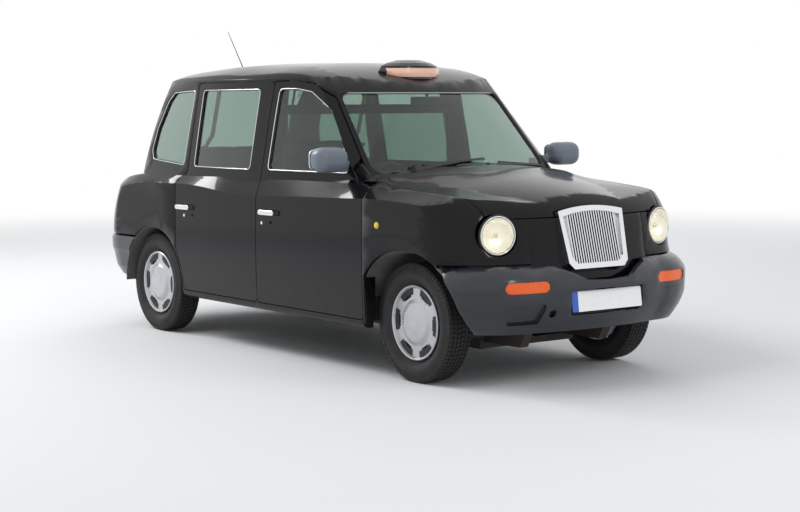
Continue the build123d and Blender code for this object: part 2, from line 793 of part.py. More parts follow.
with BuildPart() as front_suspension:
    block(front_axle_x - 90, front_axle_x + 90, -rail_y - rail_half - 30, rail_y + rail_half + 30,
          rail_low_z - 40,
          rail_low_z)
    for arm_z in (arm_low_z, arm_high_z):
        with BuildSketch(Plane.XY.offset(arm_z - arm_thick / 2)):
            with BuildLine():
                Polyline((front_axle_x - 105, rail_y + rail_half), (front_axle_x + 105, rail_y + rail_half),
                         (front_axle_x + 30, kingpin_y), (front_axle_x - 30, kingpin_y), close=True)
            make_face()
            with Locations((front_axle_x, kingpin_y)):
                Circle(kingpin_radius + 14)
                Circle(kingpin_radius + pin_gap, mode=Mode.SUBTRACT)
        extrude(amount=arm_thick)
    block(front_axle_x - 90, front_axle_x + 90, rail_y + rail_half, rail_y + rail_half + 30, rail_low_z - 40,
          arm_high_z + arm_thick / 2)
    with Locations((front_axle_x, 440, (arm_low_z + arm_high_z) / 2)):
        Cylinder(48, arm_high_z - arm_low_z)
    mirror(about=Plane.XZ)
save(front_suspension.part, "front_suspension")

with BuildPart() as knuckle:
    with Locations((front_axle_x, -kingpin_y, (arm_low_z + arm_high_z) / 2)):
        Cylinder(kingpin_radius, arm_high_z - arm_low_z + arm_thick + 10)
        Cylinder(kingpin_radius + 16, arm_high_z - arm_low_z - arm_thick - 2)
    with Locations(Location((front_axle_x, -(front_wheel_y + kingpin_y) / 2 - 4, axle_z), (90, 0, 0))):
        Cylinder(spindle_radius, front_wheel_y - kingpin_y + 8)
    with Locations(Location((front_axle_x, -(kingpin_y + 42), axle_z), (90, 0, 0))):
        Cylinder(120, 8)
save_pair(knuckle.part, "knuckle")

# Wheels: a pressed rim and disc under a domed trim with cut-outs, and the tyre
rim_inner_radius = 190
trim_face = 72
dome_radius = 116
cutout_count = 6
cutout_inner = 146
cutout_outer = 180
half_width = tyre_width / 2

# Rim and trim profile, as (radius, height)
rim_points = ((rim_inner_radius - 8, -70), (rim_radius - 1, -70), (rim_radius - 1, -63),
              (rim_inner_radius + 12, -58),
              (rim_inner_radius, -30), (rim_inner_radius, 44), (rim_inner_radius + 14, 56),
              (rim_radius - 1, 62),
              (rim_radius, trim_face - 5), (rim_radius - 5, trim_face), (rim_radius - 12, trim_face - 3),
              (rim_radius - 19, 54), (dome_radius + 16, 56), (dome_radius + 4, 62),
              (dome_radius - 4, trim_face - 4),
              (dome_radius - 18, trim_face), (40, trim_face + 4), (0, trim_face + 5), (0, 0), (56, 0),
              (64, 30),
              (rim_inner_radius - 8, 34))

with BuildPart() as wheel_form:
    with BuildSketch(Plane.XZ):
        with BuildLine():
            Polyline(*rim_points, close=True)
        make_face()
    revolve(axis=Axis.Z)
    with Locations((0, 0, 5)):
        Cylinder(spindle_radius + pin_gap, 12, mode=Mode.SUBTRACT)
    with BuildSketch(Plane.XY.offset(20)) as cutouts:
        with PolarLocations(0, cutout_count):
            Polygon((cutout_inner, -34), (cutout_outer, -46), (cutout_outer, 46), (cutout_inner, 34),
                    align=None)
        fillet(cutouts.vertices(), 9)
    extrude(cutouts.sketch, amount=60, mode=Mode.SUBTRACT)

with BuildPart() as tyre_form:
    with BuildSketch(Plane.XZ):
        with BuildLine():
            inner = Line((rim_radius - 0.7, -61), (rim_radius - 0.7, 61))
            bead = ThreePointArc(inner @ 1, (tyre_radius - 82, half_width), (tyre_radius - 20, 80))
            shoulder = ThreePointArc(bead @ 1, (tyre_radius - 9, 73), (tyre_radius - 4, 62))
            crown = ThreePointArc(shoulder @ 1, (tyre_radius, 0), (tyre_radius - 4, -62))
            shoulder_in = ThreePointArc(crown @ 1, (tyre_radius - 9, -73), (tyre_radius - 20, -80))
            ThreePointArc(shoulder_in @ 1, (tyre_radius - 82, -half_width), inner @ 0)
        make_face()
    revolve(axis=Axis.Z)

for end, axle_x, wheel_y in (("front", front_axle_x, front_wheel_y), ("rear", rear_axle_x, rear_wheel_y)):
    for side, sign in (("right", -1), ("left", 1)):
        place = Location((axle_x, sign * wheel_y, axle_z), (90 if sign < 0 else -90, 0, 0))
        with BuildPart() as wheel:
            add(wheel_form.part.moved(place))
        with BuildPart() as tyre:
            add(tyre_form.part.moved(place))
        save(wheel.part, "wheel_" + end + "_" + side)
        save(tyre.part, "tyre_" + end + "_" + side)


# Bumpers: wrapped mouldings, each set by rows of (height, set-back of the face from its farthest line)
front_bumper_rows = ((322, 86), (350, 66), (400, 34), (450, 12), (480, 4), (560, 0), (608, 0), (628, 10),
                     (654, 28), (676, 52), (692, 80))
rear_bumper_rows = ((318, 128), (360, 70), (420, 32), (520, 12), (548, 2), (618, 0), (640, 8), (652, 34))
bumper_half = 874
bumper_corner = 400
bumper_bow = 50
bumper_front_x = half_length - bumper_bow
bumper_flank_x = 1500
bumper_wall = 34
recess_depth = 24
plate_z = 487
plate_lean = 6.6
plate_x = 2264
indicator_y = 538
indicator_z = 581
indicator_length = 262
indicator_height = 62
lamp_inset = 4
lamp_depth = 26


def bumper_plan(sign, shrink, z):
    """Plan outline of a wrapped bumper whose face bows out over its width."""
    face = bumper_front_x - shrink
    half = bumper_half - shrink
    turn = bumper_corner - shrink
    with BuildSketch(Plane.XY.offset(z)) as drawn:
        with BuildLine():
            bow = ThreePointArc((sign * face, -half + turn), (sign * (face + bumper_bow), 0),
                                (sign * face, half - turn))
            corner = ThreePointArc(bow @ 1, (sign * (face - turn * 0.293), half - turn * 0.293),
                                   (sign * (face - turn), half))
            flank = Line(corner @ 1, (sign * bumper_flank_x, half))
            mirror([corner, flank], about=Plane.XZ)
            Line((sign * bumper_flank_x, half), (sign * bumper_flank_x, -half))
        make_face()
    return drawn.sketch


def bumper_form(sign, rows, shrink, spare=0):
    """Solid inside a bumper face, set in by a wall and drawn out at its ends where asked."""
    low_z = rows[0][0]
    high_z = rows[-1][0]
    with BuildPart() as form:
        loft([bumper_plan(sign, back + shrink, z + (spare if z == high_z else -spare if z == low_z else 0))
              for z, back in rows], ruled=True)
    return form.part


def bumper_shell(sign, rows, centres, radius):
    """Wrapped bumper whose ends follow the wheel arches."""
    with BuildPart() as shell:
        add(bumper_form(sign, rows, 0))
        add(bumper_form(sign, rows, bumper_wall, 5), mode=Mode.SUBTRACT)
        with BuildSketch(Plane.XZ.offset(-1000)) as arches:
            with Locations(*centres):
                Circle(radius)
        extrude(arches.sketch, amount=2000, mode=Mode.SUBTRACT)
        with Locations((sign * (bumper_flank_x - 200), 0, 500)):
            Box(2 * abs(centres[-1][0] - sign * (bumper_flank_x - 200)), 2000, 800, mode=Mode.SUBTRACT)
    return shell.part


plate_plane = Plane(origin=(plate_x, 0, plate_z), x_dir=(0, 1, 0),
                    z_dir=(cos(radians(plate_lean)), 0, sin(radians(plate_lean))))


def plate_pocket(margin):
    """Outline around the front plate on its leaning seat."""
    with BuildSketch(plate_plane.offset(-plate_thick)) as drawn:
        RectangleRounded(plate_length + 2 * margin, plate_height + 2 * margin, 8)
    return drawn.sketch


def indicator_slots(grow):
    with BuildSketch(Plane.YZ.offset(2000)) as drawn:
        with Locations((-indicator_y, indicator_z), (indicator_y, indicator_z)):
            SlotOverall(indicator_length + 2 * grow, indicator_height + 2 * grow)
    return drawn.sketch


with BuildPart() as recess_room:
    with BuildSketch(Plane.YZ.offset(2000)) as recess:
        with BuildLine():
            Polyline((-682, 487), (-422, 487), (-450, 376), (-633, 376), close=True)
        make_face()
        fillet(recess.vertices(), 16)
        mirror(about=Plane.XZ)
    extrude(recess.sketch, amount=400)
    add(bumper_form(1, front_bumper_rows, recess_depth), mode=Mode.SUBTRACT)

front_dip = ((350, 702), (324, 674), (242, 647), (160, 605))
with BuildPart() as front_bumper:
    add(bumper_shell(1, front_bumper_rows, front_arch_centres, front_arch_radius))
    with BuildSketch(Plane.YZ.offset(2000)) as dip:
        Polygon(*front_dip, (0, 598), *[(-y, z) for y, z in reversed(front_dip)], align=None)
    extrude(dip.sketch, amount=400, mode=Mode.SUBTRACT)
    add(recess_room.part, mode=Mode.SUBTRACT)
    with BuildSketch(Plane.YZ.offset(2000)) as openings:
        with Locations((0, 436)):
            RectangleRounded(520, 46, 18)
        with Locations((-378, 431)):
            Circle(22)
    extrude(openings.sketch, amount=400, mode=Mode.SUBTRACT)
    extrude(indicator_slots(seat_gap), amount=400, mode=Mode.SUBTRACT)
    extrude(plate_pocket(8), amount=80, mode=Mode.SUBTRACT)
save(front_bumper.part, "front_bumper")

with BuildPart() as rear_bumper:
    add(bumper_shell(-1, rear_bumper_rows, rear_arch_centres, rear_arch_radius))
save(rear_bumper.part, "rear_bumper")

# Indicators fill their slots in the bumper, just inside its face; round repeaters on the wings
repeater_x = 1306
repeater_z = 881
with BuildPart() as indicators:
    extrude(indicator_slots(0), amount=400)
    add(bumper_form(1, front_bumper_rows, lamp_inset), mode=Mode.INTERSECT)
    add(bumper_form(1, front_bumper_rows, lamp_depth, 5), mode=Mode.SUBTRACT)
    with Locations((repeater_x, -864, repeater_z), (repeater_x, 864, repeater_z)):
        Sphere(22)
    add(lower_solid.part, mode=Mode.SUBTRACT)
save(indicators.part, "indicators")

with BuildPart() as tail_lamps:
    extrude(tail_lamp_shape(0), amount=400, dir=(1, 0, 0))
    add(lid_skin.part, mode=Mode.INTERSECT)
save(tail_lamps.part, "tail_lamps")

# Headlamps: round lens, bowl and chrome bezel on the wing front
lamp_turn = 12
with BuildPart() as lamp_seats:
    with BuildSketch(Plane.YZ.offset(1960)) as seat_rings:
        with Locations((-headlamp_y, headlamp_z), (headlamp_y, headlamp_z)):
            Circle(bezel_radius - seat_gap)
    extrude(seat_rings.sketch, amount=400, dir=(1, 0, 0))
    add(lower_form(2), mode=Mode.INTERSECT)
    add(lower_form(panel_wall), mode=Mode.SUBTRACT)

with BuildPart() as headlamps:
    add(lamp_seats.part)
    for side in (-1, 1):
        lamp_plane = Plane(origin=(headlamp_x, side * headlamp_y, headlamp_z), x_dir=(0, 1, 0),
                           z_dir=(cos(radians(lamp_turn)), side * sin(radians(lamp_turn)), 0))
        with BuildSketch(lamp_plane.offset(-90)):
            Circle(headlamp_radius - 40)
        with BuildSketch(lamp_plane.offset(-40)):
            Circle(headlamp_radius - 4)
        loft()
        with BuildSketch(lamp_plane.offset(-40)):
            Circle(headlamp_radius)
        extrude(amount=44)
        with BuildSketch(lamp_plane.offset(-16)):
            Circle(bezel_radius - 5)
        extrude(amount=20)
        with BuildSketch(lamp_plane.offset(4)):
            Circle(headlamp_radius)
        extrude(amount=20, taper=62)
save(headlamps.part, "headlamps")

# Grille: chrome surround with upright slats, leaning back with the nose
with BuildPart() as grille:
    extrude(grille_face(0, -grille_depth), amount=grille_depth)
    extrude(grille_face(grille_frame, -grille_depth + 8), amount=grille_depth + 4, mode=Mode.SUBTRACT)
    slat_pitch = 2 * (grille_half_bottom - grille_frame) / (slat_count + 1)
    with BuildSketch(grille_plane.offset(-grille_depth + 6)) as slats:
        with GridLocations(slat_pitch, 0, slat_count, 1):
            Rectangle(slat_width, 2 * (grille_half_height + grille_arch))
    slat_form = extrude(slats.sketch, amount=grille_depth - 14, mode=Mode.PRIVATE)
    room = extrude(grille_face(grille_frame - 2, -grille_depth + 2), amount=grille_depth, mode=Mode.PRIVATE)
    add(slat_form & room)
save(grille.part, "grille")

# Plates: blank, front on the bumper and rear on the boot lid
with BuildPart() as front_plate:
    extrude(plate_pocket(0), amount=plate_thick)
save(front_plate.part, "front_plate")

with BuildPart() as rear_plate:
    block(rear_plate_x - plate_thick, rear_plate_x, -plate_length / 2, plate_length / 2,
          rear_plate_z - plate_height / 2, rear_plate_z + plate_height / 2)
save(rear_plate.part, "rear_plate")

# Door handles: a flat pull bar on two feet
handle_length = 176
handle_height = 32
handle_thick = 11
handle_reach = 903
foot_spread = 132
for label, door_x, door_z in (("front", 172, 899), ("rear", -875, 886)):
    with BuildPart() as handle:
        with BuildSketch(Plane.XZ.offset(handle_reach - handle_thick)) as bar:
            with Locations((door_x, door_z)):
                SlotOverall(handle_length, handle_height)
        extrude(bar.sketch, amount=handle_thick)
        fillet(handle.edges().group_by(Axis.Y)[0], 5)
        with BuildSketch(Plane.XZ.offset(handle_reach - handle_thick)) as feet:
            with Locations((door_x - foot_spread / 2, door_z), (door_x + foot_spread / 2, door_z)):
                RectangleRounded(26, 24, 6)
        extrude(feet.sketch, amount=-40)
        add(lower_solid.part, mode=Mode.SUBTRACT)
    save_pair(handle.part, "handle_" + label)

# Roof sign: a boat-shaped pod on the front slope of the roof, its lens band set in and blank.
# height, half length, reach forward of the tips, reach back of the tips
sign_tip_x = 455
sign_rows = (
    (1688, 150, 112, 18),
    (1702, 192, 134, 30),
    (1718, 220, 146, 36),
    (1721, 218, 142, 36),
    (1745, 232, 146, 40),
    (1768, 238, 147, 40),
    (1794, 216, 140, 34),
    (1797, 218, 144, 36),
    (1818, 172, 118, 26),
    (1836, 96, 64, 12),
)


def sign_plan(z, half, front_reach, back_reach):
    with BuildSketch(Plane.XY.offset(z)) as drawn:
        with BuildLine():
            ThreePointArc((sign_tip_x, -half), (sign_tip_x + front_reach, 0), (sign_tip_x, half))
            ThreePointArc((sign_tip_x, half), (sign_tip_x - back_reach, 0), (sign_tip_x, -half))
        make_face()
    return drawn.sketch


with BuildPart() as roof_sign:
    loft([sign_plan(*row) for row in sign_rows], ruled=True)
    add(upper_solid.part, mode=Mode.SUBTRACT)
save(main_piece(roof_sign.part), "roof_sign")

# Mirrors: a rounded pod on a sail plate in the front lower corner of each front window
mirror_x = 892
mirror_y = 908
mirror_z = 1241
sail_points = ((912, 1154), (811, 1154), (780, 1330), (800, 1330))
with BuildPart() as sail:
    add(upper_solid.part)
    add(glass_outer.part, mode=Mode.SUBTRACT)
    window_prism(front_window_points, 30, -seat_gap, Mode.INTERSECT)
    window_prism(sail_points, 4, 0, Mode.INTERSECT)

with BuildPart() as door_mirror:
    with Locations((mirror_x, -mirror_y, mirror_z)):
        Box(146, 216, 146)
    fillet(door_mirror.edges(), 58)
    with BuildSketch(Plane.XZ.offset(mirror_y - 60)) as stalk:
        with Locations((mirror_x - 42, mirror_z - 34)):
            RectangleRounded(62, 52, 16)
    extrude(stalk.sketch, amount=-110)
    add(upper_solid.part, mode=Mode.SUBTRACT)
    add(main_piece(sail.part))
save_pair(door_mirror.part, "mirror")

# Wipers: blades that follow the glass, under arms from two bosses on the scuttle.
# Each strip is seen from the front: y0, z0, y1, z1, width
blade_strips = ((-337, 1206, 115, 1230, 12), (231, 1207, 636, 1176, 12))
arm_strips = ((-440, 1178, -104, 1218, 14), (115, 1190, 436, 1191, 14))
wiper_bosses = ((1086, -440), (1098, 115))


def front_strip(y0, z0, y1, z1, width):
    """A straight strip seen from the front, pushed back through the screen."""
    length = hypot(y1 - y0, z1 - z0)
    with BuildSketch(Plane.YZ.offset(800)) as drawn:
        with Locations(Location(((y0 + y1) / 2, (z0 + z1) / 2, 0),
                                (0, 0, degrees(atan2(z1 - z0, y1 - y0))))):
            SlotOverall(length + width, width)
    return drawn.sketch


with BuildPart() as blades:
    add(upper_form(glass_depth - 12))
    add(upper_form(glass_depth - 1), mode=Mode.SUBTRACT)
    extrude([front_strip(*strip).face() for strip in blade_strips], amount=400, dir=(1, 0, 0),
            mode=Mode.INTERSECT)

with BuildPart() as arms:
    add(upper_form(glass_depth - 20))
    add(upper_form(glass_depth - 11), mode=Mode.SUBTRACT)
    extrude([front_strip(*strip).face() for strip in arm_strips], amount=400, dir=(1, 0, 0),
            mode=Mode.INTERSECT)

with BuildPart() as wipers:
    add(blades.part)
    add(arms.part)
    for boss_x, boss_y in wiper_bosses:
        with Locations((boss_x, boss_y, 1180)):
            Cylinder(13, 52)
        block(boss_x - 46, boss_x, boss_y - 8, boss_y + 8, 1184, 1196)
    add(lower_solid.part, mode=Mode.SUBTRACT)
    add(glass_outer.part, mode=Mode.SUBTRACT)
save(wipers.part, "wipers")

# Aerial: a thin whip that leans back from a small boss on the roof
aerial_foot = (-1500, 0, 1776)
aerial_tip = (-1746, 0, 2095)
aerial_plane = Plane(origin=aerial_foot, z_dir=tuple(b - a for a, b in zip(aerial_foot, aerial_tip)))
with BuildPart() as aerial:
    with BuildSketch(aerial_plane):
        Circle(4)
    with BuildSketch(aerial_plane.offset(sqrt(sum((b - a) ** 2 for a, b in zip(aerial_foot, aerial_tip))))):
        Circle(2)
    loft()
    with Locations(aerial_foot):
        Sphere(20)
    add(upper_solid.part, mode=Mode.SUBTRACT)
save(main_piece(aerial.part), "aerial")

# Cabin floor furniture: driver's seat, blank dashboard, partition, bench and two tip-up seats
floor_top = floor_z + floor_thick
seat_y = -370
seat_half = 235
partition_x = 20
partition_wall = 24
with BuildPart() as driver_seat:
    block(190, 650, seat_y - seat_half, seat_y + seat_half, floor_top + 150, floor_top + 290)
    fillet(driver_seat.edges().filter_by(Axis.Y), 40)
    block(250, 590, seat_y - 200, seat_y + 200, floor_top, floor_top + 150)
    with BuildSketch(Plane.XZ.offset(-seat_y - seat_half + 10)) as back_shape:
        Polygon((190, floor_top + 250), (310, floor_top + 250), (205, floor_top + 830),
                (115, floor_top + 830),
                align=None)
    extrude(back_shape.sketch, amount=2 * seat_half - 20)
    with BuildSketch(Plane.XZ.offset(-seat_y - 130)) as rest_shape:
        Polygon((112, floor_top + 825), (200, floor_top + 825), (180, floor_top + 1010),
                (96, floor_top + 1010),
                align=None)
    extrude(rest_shape.sketch, amount=260)
save(driver_seat.part, "driver_seat")

with BuildPart() as partition:
    with BuildSketch(Plane.YZ.offset(partition_x)) as screen_shape:
        Polygon((-758, floor_top), (-758, 966), (-718, 1066), (-709, 1130), (-646, 1560), (646, 1560),
                (709, 1130),
                (718, 1066), (758, 966), (758, floor_top), align=None)
    extrude(screen_shape.sketch, amount=partition_wall)
    block(partition_x - 1, partition_x + partition_wall + 1, -640, 640, 1120, 1500, Mode.SUBTRACT)
    block(partition_x + 8, partition_x + 14, -641, 641, 1119, 1501)
save(partition.part, "partition")

bench_front_x = -880
with BuildPart() as rear_bench:
    block(-1340, bench_front_x, -540, 540, boot_floor_z, boot_floor_z + 150)
    with BuildSketch(Plane.XZ.offset(540)) as bench_back:
        Polygon((-1340, boot_floor_z + 140), (-1220, boot_floor_z + 140), (-1350, 1300), (-1450, 1300),
                align=None)
    extrude(bench_back.sketch, amount=1080, dir=(0, 1, 0))
    block(bench_front_x - 20, bench_front_x, -540, 540, floor_top, boot_floor_z + 10)
save(rear_bench.part, "rear_bench")

with BuildPart() as tip_up_seats:
    for y in (-400, 400):
        block(partition_x - 70, partition_x, y - 190, y + 190, floor_top + 90, floor_top + 470)
        block(partition_x - 40, partition_x, y - 170, y + 170, floor_top + 480, floor_top + 700)
save(tip_up_seats.part, "tip_up_seats")

column_lean = 32
wheel_hub_x = 640
wheel_hub_z = 1040
steering_rim_radius = 190
shaft_length = 120
column_plane = Plane(origin=(wheel_hub_x, seat_y, wheel_hub_z), x_dir=(0, 1, 0),
                     z_dir=(-cos(radians(column_lean)), 0, sin(radians(column_lean))))
with BuildPart() as dashboard:
    with BuildSketch(Plane.XZ.offset(700)) as dash_shape:
        Polygon((bulkhead_x, 760), (bulkhead_x, 1100), (960, 1116), (800, 1080), (780, 1000), (860, 900),
                (900, 760),
                align=None)
    extrude(dash_shape.sketch, amount=1400, dir=(0, 1, 0))
    block(700, 960, -60, 60, floor_top, 1000)
    with BuildSketch(column_plane.offset(-18 - shaft_length - seat_gap)) as column_shape:
        Circle(38)
    extrude(column_shape.sketch, amount=-150)
save(dashboard.part, "dashboard")

# Steering wheel on its column, which leans back toward the driver
with BuildPart() as steering_wheel:
    with Locations(column_plane):
        Torus(steering_rim_radius, 14)
    with BuildSketch(column_plane.offset(-18)) as spokes:
        Rectangle(2 * steering_rim_radius, 44)
        with Locations((0, 0)):
            Circle(56)
    extrude(spokes.sketch, amount=18)
    with BuildSketch(column_plane.offset(-18)) as shaft:
        Circle(22)
    extrude(shaft.sketch, amount=-shaft_length)
save(steering_wheel.part, "steering_wheel")

# Inside mirror on a stalk from the front header, and curved grab handles behind the rear doors
inside_mirror_x = 640
inside_mirror_z = 1575
with BuildPart() as interior_mirror:
    with Locations((inside_mirror_x, 0, inside_mirror_z)):
        Box(26, 250, 62)
    fillet(interior_mirror.edges(), 12)
    with Locations((inside_mirror_x, 0, inside_mirror_z + 65)):
        Cylinder(9, 130)
    add(roof.part, mode=Mode.SUBTRACT)
save(main_piece(interior_mirror.part), "interior_mirror")

grab_y = 600
grab_radius = 14
grab_points = ((-848, 1785), (-858, 1649), (-901, 1529), (-959, 1360), (-1069, 1270))
with BuildPart() as grab_handles:
    with BuildLine(Plane.XZ.offset(grab_y)) as grab_path:
        FilletPolyline(*grab_points, radius=40)
    with BuildSketch(Plane(origin=grab_path.line @ 0, z_dir=grab_path.line % 0)):
        Circle(grab_radius)
    sweep(path=grab_path.wires()[0])
    with BuildSketch(Plane.XZ.offset(grab_y - grab_radius)) as grab_foot:
        with Locations(grab_points[-1]):
            Circle(grab_radius)
    extrude(grab_foot.sketch, amount=190)
    add(body_shell.part, mode=Mode.SUBTRACT)
    add(outer_form.part, mode=Mode.INTERSECT)
    mirror(about=Plane.XZ)
save(grab_handles.part, "grab_handles")

# Wheel arch liners: tubes just inside the openings; the rear ones are closed toward the cabin
liner_wall = 7.7
liner_gap = 0.3
liner_inset = 4
front_liner_y = 470


def liner_ring(centres, radius, outer_y, inner_y):
    """Part of a tube between two planes across the car, on the right side."""
    with BuildSketch(Plane.XZ.offset(inner_y)) as drawn:
        with Locations(*centres):
            Circle(radius - liner_gap)
        with Locations(*centres):
            Circle(radius - liner_gap - liner_wall, mode=Mode.SUBTRACT)
    extrude(drawn.sketch, amount=outer_y - inner_y)


with BuildPart() as front_liner:
    liner_ring(front_arch_centres, front_arch_radius, 857, front_liner_y)
    block(leg_front_x + 1, 2400, -950, 0, 330, 900, Mode.INTERSECT)

with BuildPart() as front_liner_inner:
    liner_ring(front_arch_centres, front_arch_radius, 788, front_liner_y)
    block(bulkhead_x + floor_thick + 0.5, 2400, -950, 0, 330, 900, Mode.INTERSECT)

with BuildPart() as rear_liner:
    liner_ring(rear_arch_centres, rear_arch_radius, 865, wheel_room_half)
    with BuildSketch(Plane.XZ.offset(wheel_room_half)) as wall_shape:
        with Locations(*rear_arch_centres):
            Circle(rear_arch_radius - liner_gap)
    extrude(wall_shape.sketch, amount=6)
    block(-2400, 0, -566.5, -550, 0, boot_floor_z + 1, Mode.SUBTRACT)
    block(-2400, 0, -950, 0, 330, 900, Mode.INTERSECT)

with BuildPart() as arch_liners:
    add(front_liner.part)
    add(front_liner_inner.part)
    add(rear_liner.part)
    add(lower_form(liner_inset), mode=Mode.INTERSECT)
    mirror(about=Plane.XZ)
save(arch_liners.part, "arch_liners")
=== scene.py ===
import json
import math

import bmesh
import bpy
from mathutils import Matrix, Vector


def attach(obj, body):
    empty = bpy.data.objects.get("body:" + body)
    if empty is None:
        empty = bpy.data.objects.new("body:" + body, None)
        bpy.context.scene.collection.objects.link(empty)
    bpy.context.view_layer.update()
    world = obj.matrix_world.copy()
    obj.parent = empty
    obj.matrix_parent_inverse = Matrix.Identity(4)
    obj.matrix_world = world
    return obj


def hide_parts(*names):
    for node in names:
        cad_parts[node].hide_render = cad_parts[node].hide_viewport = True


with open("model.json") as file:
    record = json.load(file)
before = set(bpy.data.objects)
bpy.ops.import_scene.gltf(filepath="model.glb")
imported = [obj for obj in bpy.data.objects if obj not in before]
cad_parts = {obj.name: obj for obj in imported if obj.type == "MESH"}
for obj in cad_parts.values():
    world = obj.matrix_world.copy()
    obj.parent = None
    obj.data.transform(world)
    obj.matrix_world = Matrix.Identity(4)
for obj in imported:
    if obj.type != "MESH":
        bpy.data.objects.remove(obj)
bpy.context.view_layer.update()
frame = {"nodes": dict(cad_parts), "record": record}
cabNodes = frame["nodes"]
sides = ((-1, "right"), (1, "left"))
bpy.ops.object.select_all(action="DESELECT")
print("frame loaded:", len(cabNodes), "nodes")

# Camera and stage
cameraSetup = {
    "place": (8.97226, -6.40820, 1.55934),
    "yaw": 0.6392523555,
    "pitch": -0.0897850150,
    "roll": -0.0051552714,
    "lens": 75.715,
    "sensor": 36.0,
    "reach": 200.0,
}
stageSetup = {
    "floorRadius": 45.0,
    "floorSides": 96,
    "fadeStart": 6.5,
    "fadeEnd": 15.0,
    "floor": {"Base Color": (0.70, 0.70, 0.70, 1.0), "Roughness": 0.75, "Specular IOR Level": 0.2},
    "world": {"Color": (0.90, 0.95, 1.0, 1.0), "Strength": 0.62},
    "white": {"Color": (1, 1, 1, 1), "Strength": 1.0},
}
lightSetup = (
    # name, place, aimed at, size x, size y, power, seen in reflections
    ("skyPanel", (-2.0, -5.5, 7.5), (0.0, 0.0, 0.9), 9.0, 3.2, 430.0, False),
    ("frontPanel", (9.5, 3.0, 5.0), (0.8, 0.0, 0.9), 5.0, 3.0, 230.0, False),
    ("backPanel", (-7.0, 6.0, 6.5), (0.0, 0.0, 1.0), 6.0, 3.0, 260.0, False),
    ("shoulderStrip", (-7.5, -3.7, 5.9), (0.0, -0.9, 1.0), 1.6, 3.4, 260.0, True),
    ("noseStrip", (8.6, -0.9, 5.4), (2.1, -0.3, 0.8), 0.45, 3.6, 62.0, True),
)


def addCamera(setup):
    yaw, pitch = setup["yaw"], setup["pitch"]
    forward = Vector((
        -math.cos(yaw) * math.cos(pitch),
        math.sin(yaw) * math.cos(pitch),
        math.sin(pitch),
    ))
    level = forward.cross(Vector((0, 0, 1))).normalized()
    upward = level.cross(forward)
    turnCos, turnSin = math.cos(setup["roll"]), math.sin(setup["roll"])
    right = turnCos * level + turnSin * upward
    top = turnCos * upward - turnSin * level
    axes = Matrix((right, top, -forward)).transposed()
    bpy.ops.object.camera_add(location=setup["place"], rotation=axes.to_euler())
    camera = bpy.context.object
    camera.name = "streetCamera"
    camera.data.sensor_width = setup["sensor"]
    camera.data.lens = setup["lens"]
    camera.data.clip_end = setup["reach"]
    bpy.context.scene.camera = camera


def addLights(rows):
    for name, place, target, sizeX, sizeY, power, inGloss in rows:
        aim = (Vector(target) - Vector(place)).to_track_quat("-Z", "Y").to_euler()
        bpy.ops.object.light_add(type="AREA", location=place, rotation=aim)
        lamp = bpy.context.object
        lamp.name = name
        lamp.data.shape = "RECTANGLE"
        lamp.data.size, lamp.data.size_y = sizeX, sizeY
        lamp.data.energy = power
        lamp.visible_glossy = inGloss


def addNode(tree, kind, values=None, **settings):
    node = tree.nodes.new(kind)
    for key, value in settings.items():
        setattr(node, key, value)
    for socket, value in (values or {}).items():
        node.inputs[socket].default_value = value
    return node


def join(tree, source, socket, target, entry):
    tree.links.new(source.outputs[socket], target.inputs[entry])


def addMath(tree, operation, first, firstSocket, second, secondSocket):
    node = addNode(tree, "ShaderNodeMath", operation=operation)
    join(tree, first, firstSocket, node, 0)
    join(tree, second, secondSocket, node, 1)
    return node


def addShaderMix(tree, share, low, high):
    mixed = addNode(tree, "ShaderNodeMixShader")
    join(tree, share, 0, mixed, 0)
    join(tree, low, 0, mixed, 1)
    join(tree, high, 0, mixed, 2)
    return mixed


def backgroundRays(tree):
    # one for rays from the camera, from reflections and through glass
    path = addNode(tree, "ShaderNodeLightPath")
    first = addMath(tree, "MAXIMUM", path, "Is Camera Ray", path, "Is Glossy Ray")
    return addMath(tree, "MAXIMUM", first, 0, path, "Is Transmission Ray")


def addStage(setup):
    bpy.ops.mesh.primitive_circle_add(
        vertices=setup["floorSides"], radius=setup["floorRadius"], fill_type="NGON"
    )
    floor = bpy.context.object
    floor.name = "studioFloor"
    paint, tree, shader, place = startMaterial("paleFloor", setup["floor"])
    reach = addNode(tree, "ShaderNodeVectorMath", operation="LENGTH")
    join(tree, place, "Object", reach, 0)
    fade = addRange(tree, reach, "Value", setup["fadeStart"], setup["fadeEnd"], 0.0, 1.0)
    fade.interpolation_type = "SMOOTHSTEP"
    share = addMath(tree, "MULTIPLY", fade, "Result", backgroundRays(tree), 0)
    white = addNode(tree, "ShaderNodeEmission", setup["white"])
    join(tree, addShaderMix(tree, share, shader, white), 0, tree.nodes["Material Output"], "Surface")
    floor.data.materials.append(paint)
    world = bpy.data.worlds.new("studioWorld")
    bpy.context.scene.world = world
    world.use_nodes = True
    tree = world.node_tree
    sky = tree.nodes["Background"]
    for socket, value in setup["world"].items():
        sky.inputs[socket].default_value = value
    plain = addNode(tree, "ShaderNodeBackground", setup["white"])
    choose = addShaderMix(tree, backgroundRays(tree), sky, plain)
    join(tree, choose, 0, tree.nodes["World Output"], "Surface")


# Material steps, for the floor too
def startMaterial(name, settings):
    material = bpy.data.materials.new(name)
    material.use_nodes = True
    tree = material.node_tree
    shader = tree.nodes["Principled BSDF"]
    for socket, value in settings.items():
        shader.inputs[socket].default_value = value
    return material, tree, shader, addNode(tree, "ShaderNodeTexCoord")


def addNoise(tree, place, scale, detail=2.0, rough=0.5):
    noise = addNode(tree, "ShaderNodeTexNoise", {"Scale": scale, "Detail": detail, "Roughness": rough})
    join(tree, place, "Object", noise, "Vector")
    return noise


def addCloud(tree, place, scale):
    return addNoise(tree, place, scale, detail=4.0, rough=0.6)


